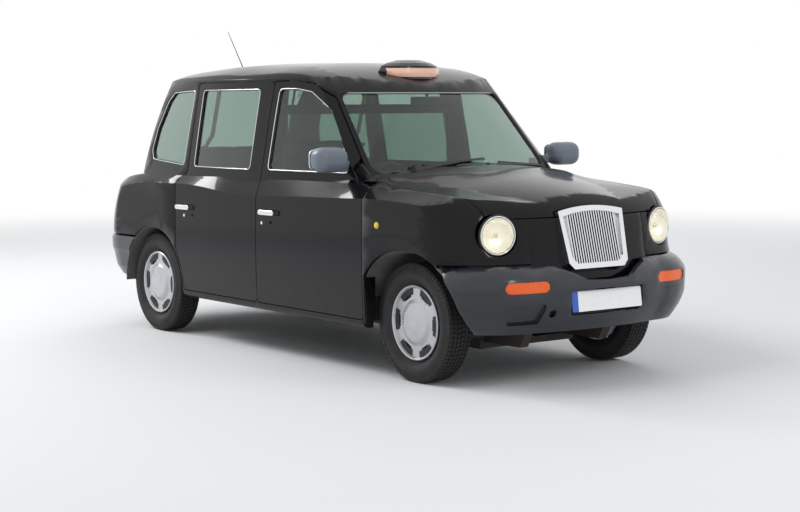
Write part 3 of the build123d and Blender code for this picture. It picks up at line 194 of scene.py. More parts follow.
def addRange(tree, source, socket, fromMin, fromMax, toMin, toMax):
    limits = {"From Min": fromMin, "From Max": fromMax, "To Min": toMin, "To Max": toMax}
    spread = addNode(tree, "ShaderNodeMapRange", limits)
    join(tree, source, socket, spread, "Value")
    return spread


def addMix(tree, factor, socket, low, high):
    # sockets 6 and 7 of a mix node, and output 2, carry its colours
    mixNode = addNode(tree, "ShaderNodeMix", {6: low, 7: high}, data_type="RGBA")
    join(tree, factor, socket, mixNode, 0)
    return mixNode


def addColourMix(tree, share, low, high):
    mixNode = addNode(tree, "ShaderNodeMix", data_type="RGBA")
    join(tree, share, 0, mixNode, 0)
    join(tree, low, 2, mixNode, 6)
    join(tree, high, 2, mixNode, 7)
    return mixNode


def splitPlace(tree, place):
    split = addNode(tree, "ShaderNodeSeparateXYZ")
    join(tree, place, "Object", split, "Vector")
    return split


def varyGloss(tree, shader, cloud, low, high, fromMin=0.3, fromMax=0.7):
    gloss = addRange(tree, cloud, "Fac", fromMin, fromMax, low, high)
    join(tree, gloss, "Result", shader, "Roughness")


def addBump(tree, shader, source, strength, distance):
    bump = addNode(tree, "ShaderNodeBump", {"Strength": strength, "Distance": distance})
    join(tree, source, "Fac", bump, "Height")
    join(tree, bump, "Normal", shader, "Normal")


def opaque(colour):
    return (*colour, 1)


def mottled(name, low, high, gloss, scale, grainScale, grainDepth, settings):
    material, tree, shader, place = startMaterial(name, settings)
    cloud = addCloud(tree, place, scale)
    tint = addMix(tree, cloud, "Fac", opaque(low), opaque(high))
    join(tree, tint, 2, shader, "Base Color")
    varyGloss(tree, shader, cloud, *gloss)
    addBump(tree, shader, addNoise(tree, place, grainScale), 0.6, grainDepth)
    return material


def makeGlass(name, colour, rough):
    settings = {"Base Color": opaque(colour), "Transmission Weight": 1.0, "IOR": 1.45}
    material, tree, shader, place = startMaterial(name, settings)
    varyGloss(tree, shader, addCloud(tree, place, 6.0), rough, rough + 0.004, 0.4, 0.8)
    return material


def makePaint(name, setup):
    # black coachwork: deep gloss with faint waves, and road dust low on the sides
    material, tree, shader, place = startMaterial(name, setup["gloss"])
    cloud = addCloud(tree, place, setup["cloudScale"])
    clean = addMix(tree, cloud, "Fac", opaque(setup["low"]), opaque(setup["high"]))
    height = addRange(tree, splitPlace(tree, place), "Z", setup["dustLow"], setup["dustHigh"], 1.0, 0.0)
    streaks = addNoise(tree, place, setup["streakScale"], detail=6.0, rough=0.7)
    share = addMath(tree, "MULTIPLY", height, "Result", streaks, "Fac")
    dusty = addNode(tree, "ShaderNodeMix", {7: opaque(setup["dust"])}, data_type="RGBA")
    join(tree, share, 0, dusty, 0)
    join(tree, clean, 2, dusty, 6)
    join(tree, dusty, 2, shader, "Base Color")
    dull = addRange(tree, share, 0, 0.0, setup["dullShare"], setup["rough"], setup["dullRough"])
    join(tree, dull, "Result", shader, "Roughness")
    wave = addNoise(tree, place, setup["waveScale"], detail=1.0, rough=0.4)
    addBump(tree, shader, wave, 0.25, setup["wave"])
    return material


def makeBanded(name, setup):
    # colours that change at fixed places along one axis, with optional moulded ribs
    material, tree, shader, place = startMaterial(name, setup["settings"])
    split = splitPlace(tree, place)
    cloud = addCloud(tree, place, setup["cloudScale"])
    colour = None
    for start, low, high in setup["bands"]:
        tint = addMix(tree, cloud, "Fac", opaque(low), opaque(high))
        if colour is None:
            colour = tint
            continue
        past = addNode(tree, "ShaderNodeMath", {1: start}, operation="GREATER_THAN")
        join(tree, split, setup["axis"], past, 0)
        colour = addColourMix(tree, past, colour, tint)
    join(tree, colour, 2, shader, "Base Color")
    varyGloss(tree, shader, cloud, setup["rough"], setup["rough"] + 0.08)
    if "ribs" in setup:
        scale, direction, depth = setup["ribs"]
        values = {"Scale": scale, "Distortion": 0.0}
        wave = addNode(tree, "ShaderNodeTexWave", values, bands_direction=direction)
        join(tree, place, "Object", wave, "Vector")
        addBump(tree, shader, wave, 0.5, depth)
    return material


def makeSign(name, setup):
    # dark case with a pale lens let into its front
    material, tree, shader, place = startMaterial(name, {"Coat Weight": 0.4})
    split = splitPlace(tree, place)
    cloud = addCloud(tree, place, setup["cloudScale"])
    case, lens = (
        addMix(tree, cloud, "Fac", opaque(setup[part + "Low"]), opaque(setup[part + "High"]))
        for part in ("case", "lens")
    )
    inside = None
    for axis, middle, half in setup["lensRoom"]:
        near = addNode(tree, "ShaderNodeMath", {1: middle, 2: half}, operation="COMPARE")
        join(tree, split, axis, near, 0)
        inside = near if inside is None else addMath(tree, "MULTIPLY", inside, 0, near, 0)
    join(tree, addColourMix(tree, inside, case, lens), 2, shader, "Base Color")
    varyGloss(tree, shader, cloud, *setup["gloss"])
    return material


addCamera(cameraSetup)
addLights(lightSetup)
addStage(stageSetup)
bpy.context.scene.view_settings.view_transform = "Standard"
print("camera, lights and floor ready")

# Finishes
signForm = {
    "caseLow": (0.008, 0.009, 0.012),
    "caseHigh": (0.014, 0.016, 0.020),
    "lensLow": (0.80, 0.46, 0.33),
    "lensHigh": (0.88, 0.56, 0.42),
    "lensRoom": (("Z", 1.7575, 0.027), ("Y", 0.0, 0.206), ("X", 0.58, 0.10)),
    "cloudScale": 14.0,
    "gloss": (0.16, 0.26),
}
paintForm = {
    "low": (0.0025, 0.0025, 0.0035),
    "high": (0.0045, 0.0045, 0.0060),
    "cloudScale": 2.2,
    "dust": (0.030, 0.027, 0.023),
    "dustLow": 0.30,
    "dustHigh": 0.62,
    "streakScale": 5.0,
    "rough": 0.16,
    "dullRough": 0.45,
    "dullShare": 0.6,
    "wave": 0.0004,
    "waveScale": 3.0,
    "gloss": {"Coat Weight": 0.30, "Coat Roughness": 0.02, "Specular IOR Level": 0.5, "IOR": 1.16},
}
roofForm = dict(paintForm, gloss={"Coat Weight": 0.55, "Coat Roughness": 0.10, "IOR": 1.20}, rough=0.24)
# bands: where each starts, low and high colour; ribs: scale, direction, depth
amberForm = {
    "bands": (
        (None, (0.80, 0.50, 0.02), (0.86, 0.58, 0.04)),
        (1.70, (0.80, 0.095, 0.004), (0.87, 0.125, 0.006)),
    ),
    "axis": "X",
    "cloudScale": 18.0,
    "rough": 0.10,
    "settings": {"Coat Weight": 0.2},
    "ribs": (28.0, "Y", 0.002),
}
redForm = {
    "bands": (
        (None, (0.34, 0.006, 0.006), (0.42, 0.012, 0.010)),
        (0.775, (0.62, 0.62, 0.60), (0.68, 0.68, 0.66)),
        (0.815, (0.85, 0.16, 0.010), (0.90, 0.20, 0.014)),
        (0.862, (0.34, 0.006, 0.006), (0.42, 0.012, 0.010)),
    ),
    "axis": "Z",
    "cloudScale": 18.0,
    "rough": 0.08,
    "settings": {"Coat Weight": 0.6},
    "ribs": (34.0, "Z", 0.002),
}
plateForm = {
    "bands": (
        (None, (0.01, 0.08, 0.42), (0.015, 0.10, 0.48)),
        (-0.216, (0.78, 0.78, 0.77), (0.83, 0.83, 0.82)),
    ),
    "axis": "Y",
    "cloudScale": 18.0,
    "rough": 0.25,
    "settings": {"Coat Weight": 0.3},
}
# headlamp bowl: a faint warm emission is a painted glow, standing in for light on its reflector
bowlPaintedGlow = {"Metallic": 0.35, "Emission Color": (1.0, 0.93, 0.74, 1), "Emission Strength": 0.22}
mottledRows = (
    # name, low colour, high colour,
    # roughness, cloud scale, grain scale, grain depth, other settings
    ("darkSteel", (0.02, 0.018, 0.016), (0.06, 0.045, 0.035),
     (0.5, 0.8), 8.0, 200.0, 0.0004, {}),
    ("bumperPlastic", (0.008, 0.010, 0.015), (0.014, 0.017, 0.023),
     (0.20, 0.32), 5.0, 900.0, 0.0001, {"Coat Weight": 0.25}),
    ("blackPlastic", (0.010, 0.010, 0.010), (0.020, 0.020, 0.020),
     (0.4, 0.6), 10.0, 900.0, 0.0001, {}),
    ("greyPlastic", (0.120, 0.140, 0.175), (0.155, 0.178, 0.215),
     (0.30, 0.42), 6.0, 700.0, 0.0001, {}),
    ("yellowPlastic", (0.80, 0.52, 0.02), (0.86, 0.60, 0.04),
     (0.3, 0.4), 10.0, 500.0, 0.0001, {}),
    ("lampGlass", (0.86, 0.84, 0.74), (0.92, 0.90, 0.80),
     (0.06, 0.12), 20.0, 80.0, 0.0001, {"Coat Weight": 0.6}),
    ("chromeMetal", (0.72, 0.73, 0.75), (0.82, 0.83, 0.85),
     (0.06, 0.14), 20.0, 200.0, 0.00001, {"Metallic": 1.0}),
    ("seatVinyl", (0.020, 0.022, 0.028), (0.035, 0.038, 0.046),
     (0.5, 0.7), 12.0, 500.0, 0.0004, {}),
    ("silverTrim", (0.46, 0.47, 0.49), (0.56, 0.57, 0.59),
     (0.24, 0.34), 8.0, 900.0, 0.00005, {"Metallic": 0.55}),
    ("tyreRubber", (0.010, 0.010, 0.010), (0.024, 0.023, 0.022),
     (0.6, 0.82), 14.0, 500.0, 0.0004, {}),
    # arch liners: a lighter mottled grey
    ("archLinerGrey", (0.045, 0.044, 0.042), (0.150, 0.147, 0.140),
     (0.7, 0.9), 7.0, 300.0, 0.0006, {}),
    ("rubberSeal", (0.006, 0.006, 0.006), (0.012, 0.012, 0.012),
     (0.45, 0.6), 20.0, 600.0, 0.0001, {}),
    ("roofCloth", (0.42, 0.42, 0.40), (0.50, 0.50, 0.48),
     (0.85, 0.95), 6.0, 900.0, 0.0005, {}),
    ("cardVinyl", (0.10, 0.105, 0.115), (0.14, 0.145, 0.155),
     (0.5, 0.65), 8.0, 500.0, 0.0004, {}),
    # headlamp bowl: bright mirror finish plus a painted glow
    ("lampMirror", (0.86, 0.84, 0.76), (0.94, 0.92, 0.84),
     (0.22, 0.34), 10.0, 60.0, 0.0004, bowlPaintedGlow),
    ("mirrorGlass", (0.80, 0.82, 0.85), (0.84, 0.86, 0.88),
     (0.01, 0.03), 6.0, 50.0, 0.00001, {"Metallic": 1.0}),
)
looks = {row[0]: mottled(*row) for row in mottledRows}
finishes = {
    # looks of the record's material slots
    "black_paint": makePaint("blackPaint", paintForm),
    # window glass: partly the glass's own green tint, partly painted shade that darkens what is seen through
    # it
    "tinted_glass": makeGlass("tintedShadedGlass", (0.43, 0.54, 0.49), 0.0),
    "dark_steel": looks["darkSteel"],
    "bumper_plastic": looks["bumperPlastic"],
    "black_plastic": looks["blackPlastic"],
    "grey_plastic": looks["greyPlastic"],
    "yellow_plastic": looks["yellowPlastic"],
    "amber_lens": makeBanded("amberLens", amberForm),
    "red_lens": makeBanded("redLens", redForm),
    "lamp_glass": looks["lampGlass"],
    "chrome": looks["chromeMetal"],
    "white_plate": makeBanded("whitePlate", plateForm),
    "sign_plastic": makeSign("signPlastic", signForm),
    "seat_fabric": looks["seatVinyl"],
    "silver_trim": looks["silverTrim"],
    "tyre_rubber": looks["tyreRubber"],
}
roofPaint = makePaint("roofPaint", roofForm)
lensGlass = makeGlass("lensGlass", (0.98, 0.97, 0.92), 0.02)
rubberSeal = looks["rubberSeal"]

slotOfNode = {row["node"]: row["material_slot"] for row in frame["record"]["subparts"]}
bodyOfNode = {
    name: body
    for body, names in frame["record"]["behaviour"]["bodies"].items()
    for name in names
}
for nodeName, cadPiece in cabNodes.items():
    slotName = slotOfNode.get(nodeName, "black_paint")
    cadPiece.data.materials.clear()
    cadPiece.data.materials.append(finishes[slotName])
# arch liners get a lighter mottled grey
cabNodes["arch_liners"].data.materials[0] = looks["archLinerGrey"]
print("finishes ready")

# Shared modelling steps
stepForm = {"weld": 0.00002, "edgeAngle": 0.6, "shadeAngle": 0.7}


def clearSelection():
    if bpy.context.object and bpy.context.object.mode != "OBJECT":
        bpy.ops.object.mode_set(mode="OBJECT")
    bpy.ops.object.select_all(action="DESELECT")


def makeActive(piece):
    clearSelection()
    bpy.context.view_layer.objects.active = piece
    piece.select_set(True)


def openEdit(piece, mode="FACE"):
    makeActive(piece)
    bpy.ops.object.mode_set(mode="EDIT")
    bpy.ops.mesh.select_mode(type=mode)
    bpy.ops.mesh.select_all(action="DESELECT")


def closeEdit():
    bpy.ops.object.mode_set(mode="OBJECT")


def pickFaces(piece, wanted):
    shape = bmesh.from_edit_mesh(piece.data)
    for face in shape.faces:
        face.select_set(wanted(face.calc_center_median(), face.normal))
    shape.select_flush_mode()
    bmesh.update_edit_mesh(piece.data)


def pickPoints(piece, wanted):
    shape = bmesh.from_edit_mesh(piece.data)
    for point in shape.verts:
        point.select_set(wanted(point.co))
    shape.select_flush_mode()
    bmesh.update_edit_mesh(piece.data)


def applyAll(piece):
    makeActive(piece)
    for modifier in list(piece.modifiers):
        bpy.ops.object.modifier_apply(modifier=modifier.name)


def addWall(piece, name, thickness, offset=-1.0):
    wall = piece.modifiers.new(name, "SOLIDIFY")
    wall.thickness = thickness
    wall.offset = offset
    applyAll(piece)


def startBlock(place, size):
    # a block to be cut and rounded further, with its place in its mesh
    clearSelection()
    bpy.ops.mesh.primitive_cube_add(size=1, location=place)
    piece = bpy.context.object
    piece.scale = size
    bpy.ops.object.transform_apply(location=True, rotation=False, scale=True)
    return piece


def settle(piece, name, finish, body, replaced=()):
    # finishes a piece: its place goes into its mesh, then it gets a finish and a body
    makeActive(piece)
    bpy.ops.object.transform_apply(location=True, rotation=True, scale=True)
    piece.name = name
    piece.data.materials.clear()
    piece.data.materials.append(finish)
    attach(piece, body)
    if replaced:
        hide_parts(*replaced)
    clearSelection()
    return piece


def copyPiece(piece, name):
    other = piece.copy()
    other.data = piece.data.copy()
    other.name = name
    bpy.context.collection.objects.link(other)
    return other


def copyNode(nodeName, name):
    # a merged copy of a CAD node, for pieces that follow its surface
    piece = copyPiece(cabNodes[nodeName], name)
    piece.parent = None
    piece.hide_viewport = piece.hide_render = False
    piece.hide_set(False)
    openEdit(piece, "VERT")
    bpy.ops.mesh.select_all(action="SELECT")
    bpy.ops.mesh.remove_doubles(threshold=stepForm["weld"])
    closeEdit()
    return piece


def softEdges(piece, width, angle=stepForm["edgeAngle"]):
    bevel = piece.modifiers.new("softEdge", "BEVEL")
    bevel.width = width
    bevel.segments = 2
    bevel.limit_method = "ANGLE"
    bevel.angle_limit = angle
    applyAll(piece)
    bpy.ops.object.shade_smooth_by_angle(angle=stepForm["shadeAngle"])


# Tyres: a spun carcass whose tread faces become blocks
tyreForm = {
    "sectionPoints": 24,
    "steps": 80,
    "carcassRadius": 0.3300,
    "beadRadius": 0.2140,
    "halfWidth": 0.0885,
    "weld": 0.0002,
    "crownShare": 0.68,
    "crownHeight": 0.12,
    "beadShare": 0.80,
    "beadWidth": 1.25,
    "treadHalf": 0.0715,
    "treadShare": 0.8,
    "edgeShare": 0.99,
    "blockGap": 0.0026,
    "blockHeight": 0.0078,
    "zigzag": 0.0065,
    "rows": ((-2, 1), (-1, -1), (1, 1), (2, -1)),
    "rowShare": 0.7,
    "rowBand": 0.4,
    "shoulderShare": 0.45,
    "shoulderFacing": 0.2,
    "shoulderHeight": 0.35,
    "shadeAngle": 0.5,
}
wheelPlaces = {
    "front_right": (1.505, -0.690, 0.339),
    "front_left": (1.505, 0.690, 0.339),
    "rear_right": (-1.381, -0.738, 0.339),
    "rear_left": (-1.381, 0.738, 0.339),
}


def raiseFaces(gap, height):
    bpy.ops.mesh.inset(thickness=gap, use_individual=True)
    bpy.ops.mesh.extrude_faces_indiv()
    bpy.ops.transform.shrink_fatten(value=height)


def modelTyre(setup):
    crown, bead = setup["carcassRadius"], setup["beadRadius"]
    middle, deep = (crown + bead) / 2, (crown - bead) / 2

    def beyond(place, share):
        return math.hypot(place.x, place.z) > middle + deep * share

    clearSelection()
    bpy.ops.mesh.primitive_circle_add(
        vertices=setup["sectionPoints"], radius=1, rotation=(0, math.pi / 2, 0)
    )
    tyre = bpy.context.object
    bpy.ops.object.transform_apply(location=False, rotation=True, scale=False)
    openEdit(tyre, "VERT")
    bpy.ops.mesh.select_all(action="SELECT")
    bpy.ops.transform.resize(value=(1, setup["halfWidth"], deep), center_override=(0, 0, 0))
    bpy.ops.transform.translate(value=(0, 0, middle))
    pickPoints(tyre, lambda place: place.z > middle + deep * setup["crownShare"])
    crownWidth = setup["treadHalf"] / (setup["halfWidth"] * 0.7071)
    bpy.ops.transform.resize(value=(1, crownWidth, setup["crownHeight"]), center_override=(0, 0, crown))
    pickPoints(tyre, lambda place: place.z < middle - deep * setup["beadShare"])
    bpy.ops.transform.resize(value=(1, setup["beadWidth"], 0.0), center_override=(0, 0, bead))
    bpy.ops.mesh.select_all(action="SELECT")
    bpy.ops.mesh.spin(steps=setup["steps"], angle=math.tau, center=(0, 0, 0), axis=(0, 1, 0))
    bpy.ops.mesh.select_all(action="SELECT")
    bpy.ops.mesh.remove_doubles(threshold=setup["weld"])
    bpy.ops.mesh.normals_make_consistent(inside=False)
    turn = setup["zigzag"] / crown
    rowGap = setup["treadHalf"] / 3
    for row, side in setup["rows"]:
        level = row * rowGap
        rowHalf = rowGap * setup["rowBand"]
        pickPoints(tyre, lambda place: abs(place.y - level) < rowHalf and beyond(place, setup["rowShare"]))
        bpy.ops.transform.rotate(value=side * turn, orient_axis="Y", center_override=(0, 0, 0))
    bpy.ops.mesh.select_mode(type="FACE")
    treadEdge = setup["treadHalf"] * setup["edgeShare"]
    pickFaces(tyre, lambda place, normal: beyond(place, setup["treadShare"]) and abs(place.y) < treadEdge)
    raiseFaces(setup["blockGap"], setup["blockHeight"])
    pickFaces(
        tyre,
        lambda place, normal: treadEdge < abs(place.y) and beyond(place, setup["shoulderShare"])
        and abs(normal.y) > setup["shoulderFacing"],
    )
    raiseFaces(setup["blockGap"], setup["blockHeight"] * setup["shoulderHeight"])
    closeEdit()
    bpy.ops.object.shade_smooth_by_angle(angle=setup["shadeAngle"])
    return tyre


firstTyre = modelTyre(tyreForm)
for corner, place in wheelPlaces.items():
    tyre = copyPiece(firstTyre, "treadedTyre_" + corner)
    tyre.location = place
    settle(tyre, "treadedTyre_" + corner, finishes["tyre_rubber"], "wheel_" + corner,
           ("tyre_" + corner,))
bpy.data.objects.remove(firstTyre)
print("tyres modelled")

# Headlamps: domed lens, bowl, chrome ring, gasket and bulb
lampForm = {
    "place": (2.050, 0.607, 0.854),
    "turn": math.radians(12),
    "radius": 0.100,
    "wall": 0.003,
    "caps": (
        # name, inset from the radius, depth, reach, facing, finish, slot
        ("headlampLens_", 0.002, 0.026, 0.006, 1, lensGlass, "lamp_glass"),
        ("headlampBowl_", 0.004, 0.060, 0.004, -1, looks["lampMirror"], "chrome"),
    ),
    "hoops": (
        # name, outset from the radius, width, reach, section sides, finish, slot
        ("headlampRing_", 0.003, 0.0038, 0.004, 12, finishes["chrome"], "chrome"),
        ("headlampGasket_", 0.0085, 0.0055, -0.006, 10, rubberSeal, "black_plastic"),
    ),
    "hoopSides": 72,
    "bulbRadius": 0.015,
    "bulbReach": -0.028,
}


def domeCap(radius, depth, location, rotation):
    # the top of a flattened ball, cut off level with its rim
    clearSelection()
    bpy.ops.mesh.primitive_uv_sphere_add(segments=48, ring_count=24, radius=radius)
    cap = bpy.context.object
    openEdit(cap)
    bpy.ops.mesh.select_all(action="SELECT")
    bpy.ops.mesh.bisect(plane_co=(0, 0, 0), plane_no=(0, 0, 1), clear_inner=True)
    bpy.ops.mesh.select_all(action="SELECT")
    bpy.ops.transform.resize(value=(1, 1, depth / radius), center_override=(0, 0, 0))
    closeEdit()
    cap.location, cap.rotation_euler = location, rotation
    makeActive(cap)
    bpy.ops.object.transform_apply(location=True, rotation=True, scale=True)
    bpy.ops.object.shade_smooth()
    return cap


def modelHeadlamp(setup, side, label):
    turn = setup["turn"]

    def along(reach):
        x, y, z = setup["place"]
        return (x + reach * math.cos(turn), side * (y + reach * math.sin(turn)), z)

    def tilt(facing):
        return (0, facing * math.pi / 2, side * turn)

    for name, inset, depth, reach, facing, finish, slotName in setup["caps"]:
        cap = domeCap(setup["radius"] - inset, depth, along(reach), tilt(facing))
        addWall(cap, "capWall", setup["wall"])
        settle(cap, name + label, finish, "body", ("headlamps",))
    for name, outset, width, reach, sectionSides, finish, slotName in setup["hoops"]:
        clearSelection()
        bpy.ops.mesh.primitive_torus_add(
            major_segments=setup["hoopSides"], minor_segments=sectionSides,
            major_radius=setup["radius"] + outset, minor_radius=width,
            location=along(reach), rotation=tilt(1),
        )
        hoop = bpy.context.object
        bpy.ops.object.shade_smooth()
        settle(hoop, name + label, finish, "body", ("headlamps",))
    clearSelection()
    bpy.ops.mesh.primitive_uv_sphere_add(
        segments=24, ring_count=16, radius=setup["bulbRadius"], location=along(setup["bulbReach"])
    )
    bulb = bpy.context.object
    bpy.ops.object.shade_smooth()
    settle(bulb, "headlampBulb_" + label, finishes["lamp_glass"], "body")


for side, label in sides:
    modelHeadlamp(lampForm, side, label)
print("headlamps modelled")

# Rubber and bright edges that follow the windows
sealForm = {
    "seal": 0.0075,
    "bright": 0.0030,
    "outward": 0.0125,
    "facing": 0.4,
    "screenShare": 1.3,
    "screenFacing": 0.25,
    "backFacing": -0.3,
    "backEnd": -1.62,
}


def keepFaces(piece, wanted):
    pickFaces(piece, lambda place, normal: not wanted(place, normal))
    bpy.ops.mesh.delete(type="FACE")


def edgeLoop(nodeName, name, wanted, radius, shift, finish, body):
    piece = copyNode(nodeName, name)
    openEdit(piece)
    keepFaces(piece, wanted)
    bpy.ops.mesh.select_mode(type="EDGE")
    bpy.ops.mesh.select_all(action="DESELECT")
    bpy.ops.mesh.select_non_manifold()
    bpy.ops.mesh.select_all(action="INVERT")
    bpy.ops.mesh.delete(type="EDGE")
    bpy.ops.mesh.select_all(action="SELECT")
    bpy.ops.mesh.delete_loose(use_verts=True, use_edges=False, use_faces=False)
    bpy.ops.mesh.select_all(action="SELECT")
    bpy.ops.transform.translate(value=shift)
    closeEdit()
    bpy.ops.object.convert(target="CURVE")
    piece = bpy.context.object
    piece.data.bevel_depth = radius
    piece.data.bevel_resolution = 2
    bpy.ops.object.convert(target="MESH")
    piece = bpy.context.object
    bpy.ops.object.shade_smooth()
    settle(piece, name, finish, body)


def sealWindow(nodeName, name, wanted, body, share=1.0):
    edgeLoop(nodeName, name, wanted, sealForm["seal"] * share, (0, 0, 0), rubberSeal, body)


def brightEdge(nodeName, name, wanted, side, body):
    shift = (0, side * sealForm["outward"], 0)
    edgeLoop(nodeName, name, wanted, sealForm["bright"], shift, finishes["chrome"], body)


for end in ("front", "rear"):
    for side, label in sides:
        outward = lambda place, normal: normal.y * side > sealForm["facing"]
        nodeName, body = "glass_" + end + "_" + label, "door_" + end + "_" + label
        sealWindow(nodeName, nodeName + "_seal", outward, body)
        brightEdge(nodeName, nodeName + "_edge", outward, side, body)
sealWindow("windscreen", "windscreen_seal", lambda place, normal: normal.x > sealForm["screenFacing"],
           "body", sealForm["screenShare"])
sealWindow("rear_glass", "rearWindow_seal",
           lambda place, normal: normal.x < sealForm["backFacing"] and place.x < sealForm["backEnd"], "body")
for side, label in sides:
    outward = lambda place, normal: min(normal.y * side, place.y * side) > sealForm["facing"]
    sealWindow("rear_glass", "quarterWindow_seal_" + label, outward, "body")
    brightEdge("rear_glass", "quarterWindow_edge_" + label, outward, side, "body")
print("window edges modelled")

# Linings that follow the inner faces of the roof and doors
roofLiningForm = {"thick": 0.006, "halfWidth": 0.66, "facing": -0.5, "trims": ()}
cardForm = {
    "thick": 0.005,
    "facing": -0.70,
    # point and direction of the cuts above and below
    "trims": (((0, 0, 1.095), (0, 0, 1)), ((0, 0, 0.385), (0, 0, -1))),
}


def lining(nodeName, name, setup, wanted, finish, body):
    piece = copyNode(nodeName, name)
    openEdit(piece)
    for point, direction in setup["trims"]:
        bpy.ops.mesh.select_all(action="SELECT")
        bpy.ops.mesh.bisect(plane_co=point, plane_no=direction, clear_outer=True)
    keepFaces(piece, wanted)
    bpy.ops.mesh.select_all(action="SELECT")
    bpy.ops.mesh.delete_loose()
    closeEdit()
    addWall(piece, "liningWall", setup["thick"], 1.0)
    bpy.ops.object.shade_smooth_by_angle(angle=stepForm["edgeAngle"])
    settle(piece, name, finish, body)


def facesCabin(place, normal):
    return normal.z < roofLiningForm["facing"] and abs(place.y) < roofLiningForm["halfWidth"]


lining("roof", "roofLining", roofLiningForm, facesCabin, looks["roofCloth"], "body")
for side, label in sides:
    for end in ("front", "rear"):
        door = "door_" + end + "_" + label
        lining(door, "doorCard_" + end + "_" + label, cardForm,
               lambda place, normal: normal.y * side < cardForm["facing"],
               looks["cardVinyl"], door)
print("linings modelled")

# Panels: merged copies with rounded edges and smooth faces
panelEdges = {
    "front_bumper": 0.004,
    "bonnet": 0.004,
    "front_wings": 0.004,
    "body_sides": 0.003,
    "roof": 0.003,
    "boot_lid": 0.003,
    "roof_sign": 0.006,
}
panelForm = {"flat": 0.002, "edgeAngle": 0.62}


def roundPanel(nodeName, width):
    piece = copyNode(nodeName, nodeName + "_skin")
    openEdit(piece)
    bpy.ops.mesh.select_all(action="SELECT")
    bpy.ops.mesh.dissolve_limited(angle_limit=panelForm["flat"])
    closeEdit()
    softEdges(piece, width, panelForm["edgeAngle"])
    slotName = slotOfNode[nodeName]
    finish = roofPaint if nodeName == "roof" else finishes[slotName]
    settle(piece, nodeName + "_skin", finish, bodyOfNode[nodeName], (nodeName,))


for nodeName, width in panelEdges.items():
    roundPanel(nodeName, width)
print("panels rounded")

# Mirror pods: the moulding drawn soft all over
podForm = {"voxel": 0.0045, "repeat": 22, "factor": 0.5}


def evenFaces(piece, voxel):
    remesh = piece.modifiers.new("evenFaces", "REMESH")
    remesh.mode = "VOXEL"
    remesh.voxel_size = voxel
    applyAll(piece)


for side, label in sides:
    pod = copyNode("mirror_" + label, "mirrorPod_" + label)
    evenFaces(pod, podForm["voxel"])
    soft = pod.modifiers.new("podSoft", "SMOOTH")
    soft.factor = podForm["factor"]
    soft.iterations = podForm["repeat"]
    applyAll(pod)
    bpy.ops.object.shade_smooth()
    settle(pod, "mirrorPod_" + label, finishes["grey_plastic"], "door_front_" + label,
           ("mirror_" + label,))
print("mirror pods softened")

# Partition: frame and see-through pane
paneRoom = {"x": (0.0260, 0.0360), "y": (-0.643, 0.643), "z": (1.117, 1.503), "facing": 0.9}


def inPane(place, normal):
    rooms = zip((paneRoom["x"], paneRoom["y"], paneRoom["z"]), place)
    return all(low < level < high for (low, high), level in rooms) and abs(normal.x) > paneRoom["facing"]


def partitionPart(name, slotName, wanted):
    piece = copyNode("partition", name)
    openEdit(piece)
    keepFaces(piece, wanted)
    closeEdit()
    settle(piece, name, finishes[slotName], "body", ("partition",))


partitionPart("partitionPane", "tinted_glass", inPane)
partitionPart("partitionFrame", "black_plastic", lambda place, normal: not inPane(place, normal))
print("partition modelled")

# Seats: swollen pads with sewn channels
padForm = {
    "voxel": 0.011,
    "frames": 20,
    "pressure": 4.0,
    "cap": 0.016,
    "shrink": 0.011,
    "corner": 0.030,
    # half width and depth of each pass that sinks a channel
    "passes": ((0.020, 0.25), (0.013, 0.35), (0.007, 0.40)),
    "channel": 0.0075,
}
padRows = (
    # name, centre, size,
    # tilt, channels across, channels lengthwise, node it replaces
    ("driverCushion", (0.420, -0.370, 0.556), (0.46, 0.47, 0.136),
     0.0, (-0.150, 0.150), (0.12,), "driver_seat"),
    ("driverBack", (0.207, -0.370, 0.874), (0.105, 0.45, 0.575),
     -0.154, (-0.140, 0.140), (0.10,), "driver_seat"),
    ("driverHeadrest", (0.148, -0.370, 1.252), (0.100, 0.26, 0.182),
     -0.10, (), (), "driver_seat"),
    ("rearCushion", (-1.110, 0.0, 0.661), (0.455, 1.076, 0.146),
     0.0, (-0.180, 0.180), (0.10,), "rear_bench"),
    ("rearBack", (-1.340, 0.0, 1.012), (0.108, 1.076, 0.572),
     -0.206, (-0.180, 0.180), (0.14,), "rear_bench"),
    ("tipUpCushion_right", (-0.016, -0.400, 0.614), (0.066, 0.376, 0.376),
     0.0, (), (0.12,), "tip_up_seats"),
    ("tipUpBack_right", (0.0, -0.400, 0.924), (0.040, 0.336, 0.216),
     0.0, (), (), "tip_up_seats"),
    ("tipUpCushion_left", (-0.016, 0.400, 0.614), (0.066, 0.376, 0.376),
     0.0, (), (0.12,), "tip_up_seats"),
    ("tipUpBack_left", (0.0, 0.400, 0.924), (0.040, 0.336, 0.216),
     0.0, (), (), "tip_up_seats"),
)


def swell(pad):
    # cloth under pressure, with a cap on how far a point goes
    before = [point.co.copy() for point in pad.data.vertices]
    cloth = pad.modifiers.new("padCloth", "CLOTH")
    cloth.settings.use_pressure = True
    cloth.settings.uniform_pressure_force = padForm["pressure"]
    cloth.settings.effector_weights.gravity = 0
    for step in range(1, padForm["frames"] + 1):
        bpy.context.scene.frame_set(step)
    applyAll(pad)
    bpy.context.scene.frame_set(1)
    for point, start in zip(pad.data.vertices, before):
        move = point.co - start
        if move.length > padForm["cap"]:
            point.co = start + move * (padForm["cap"] / move.length)


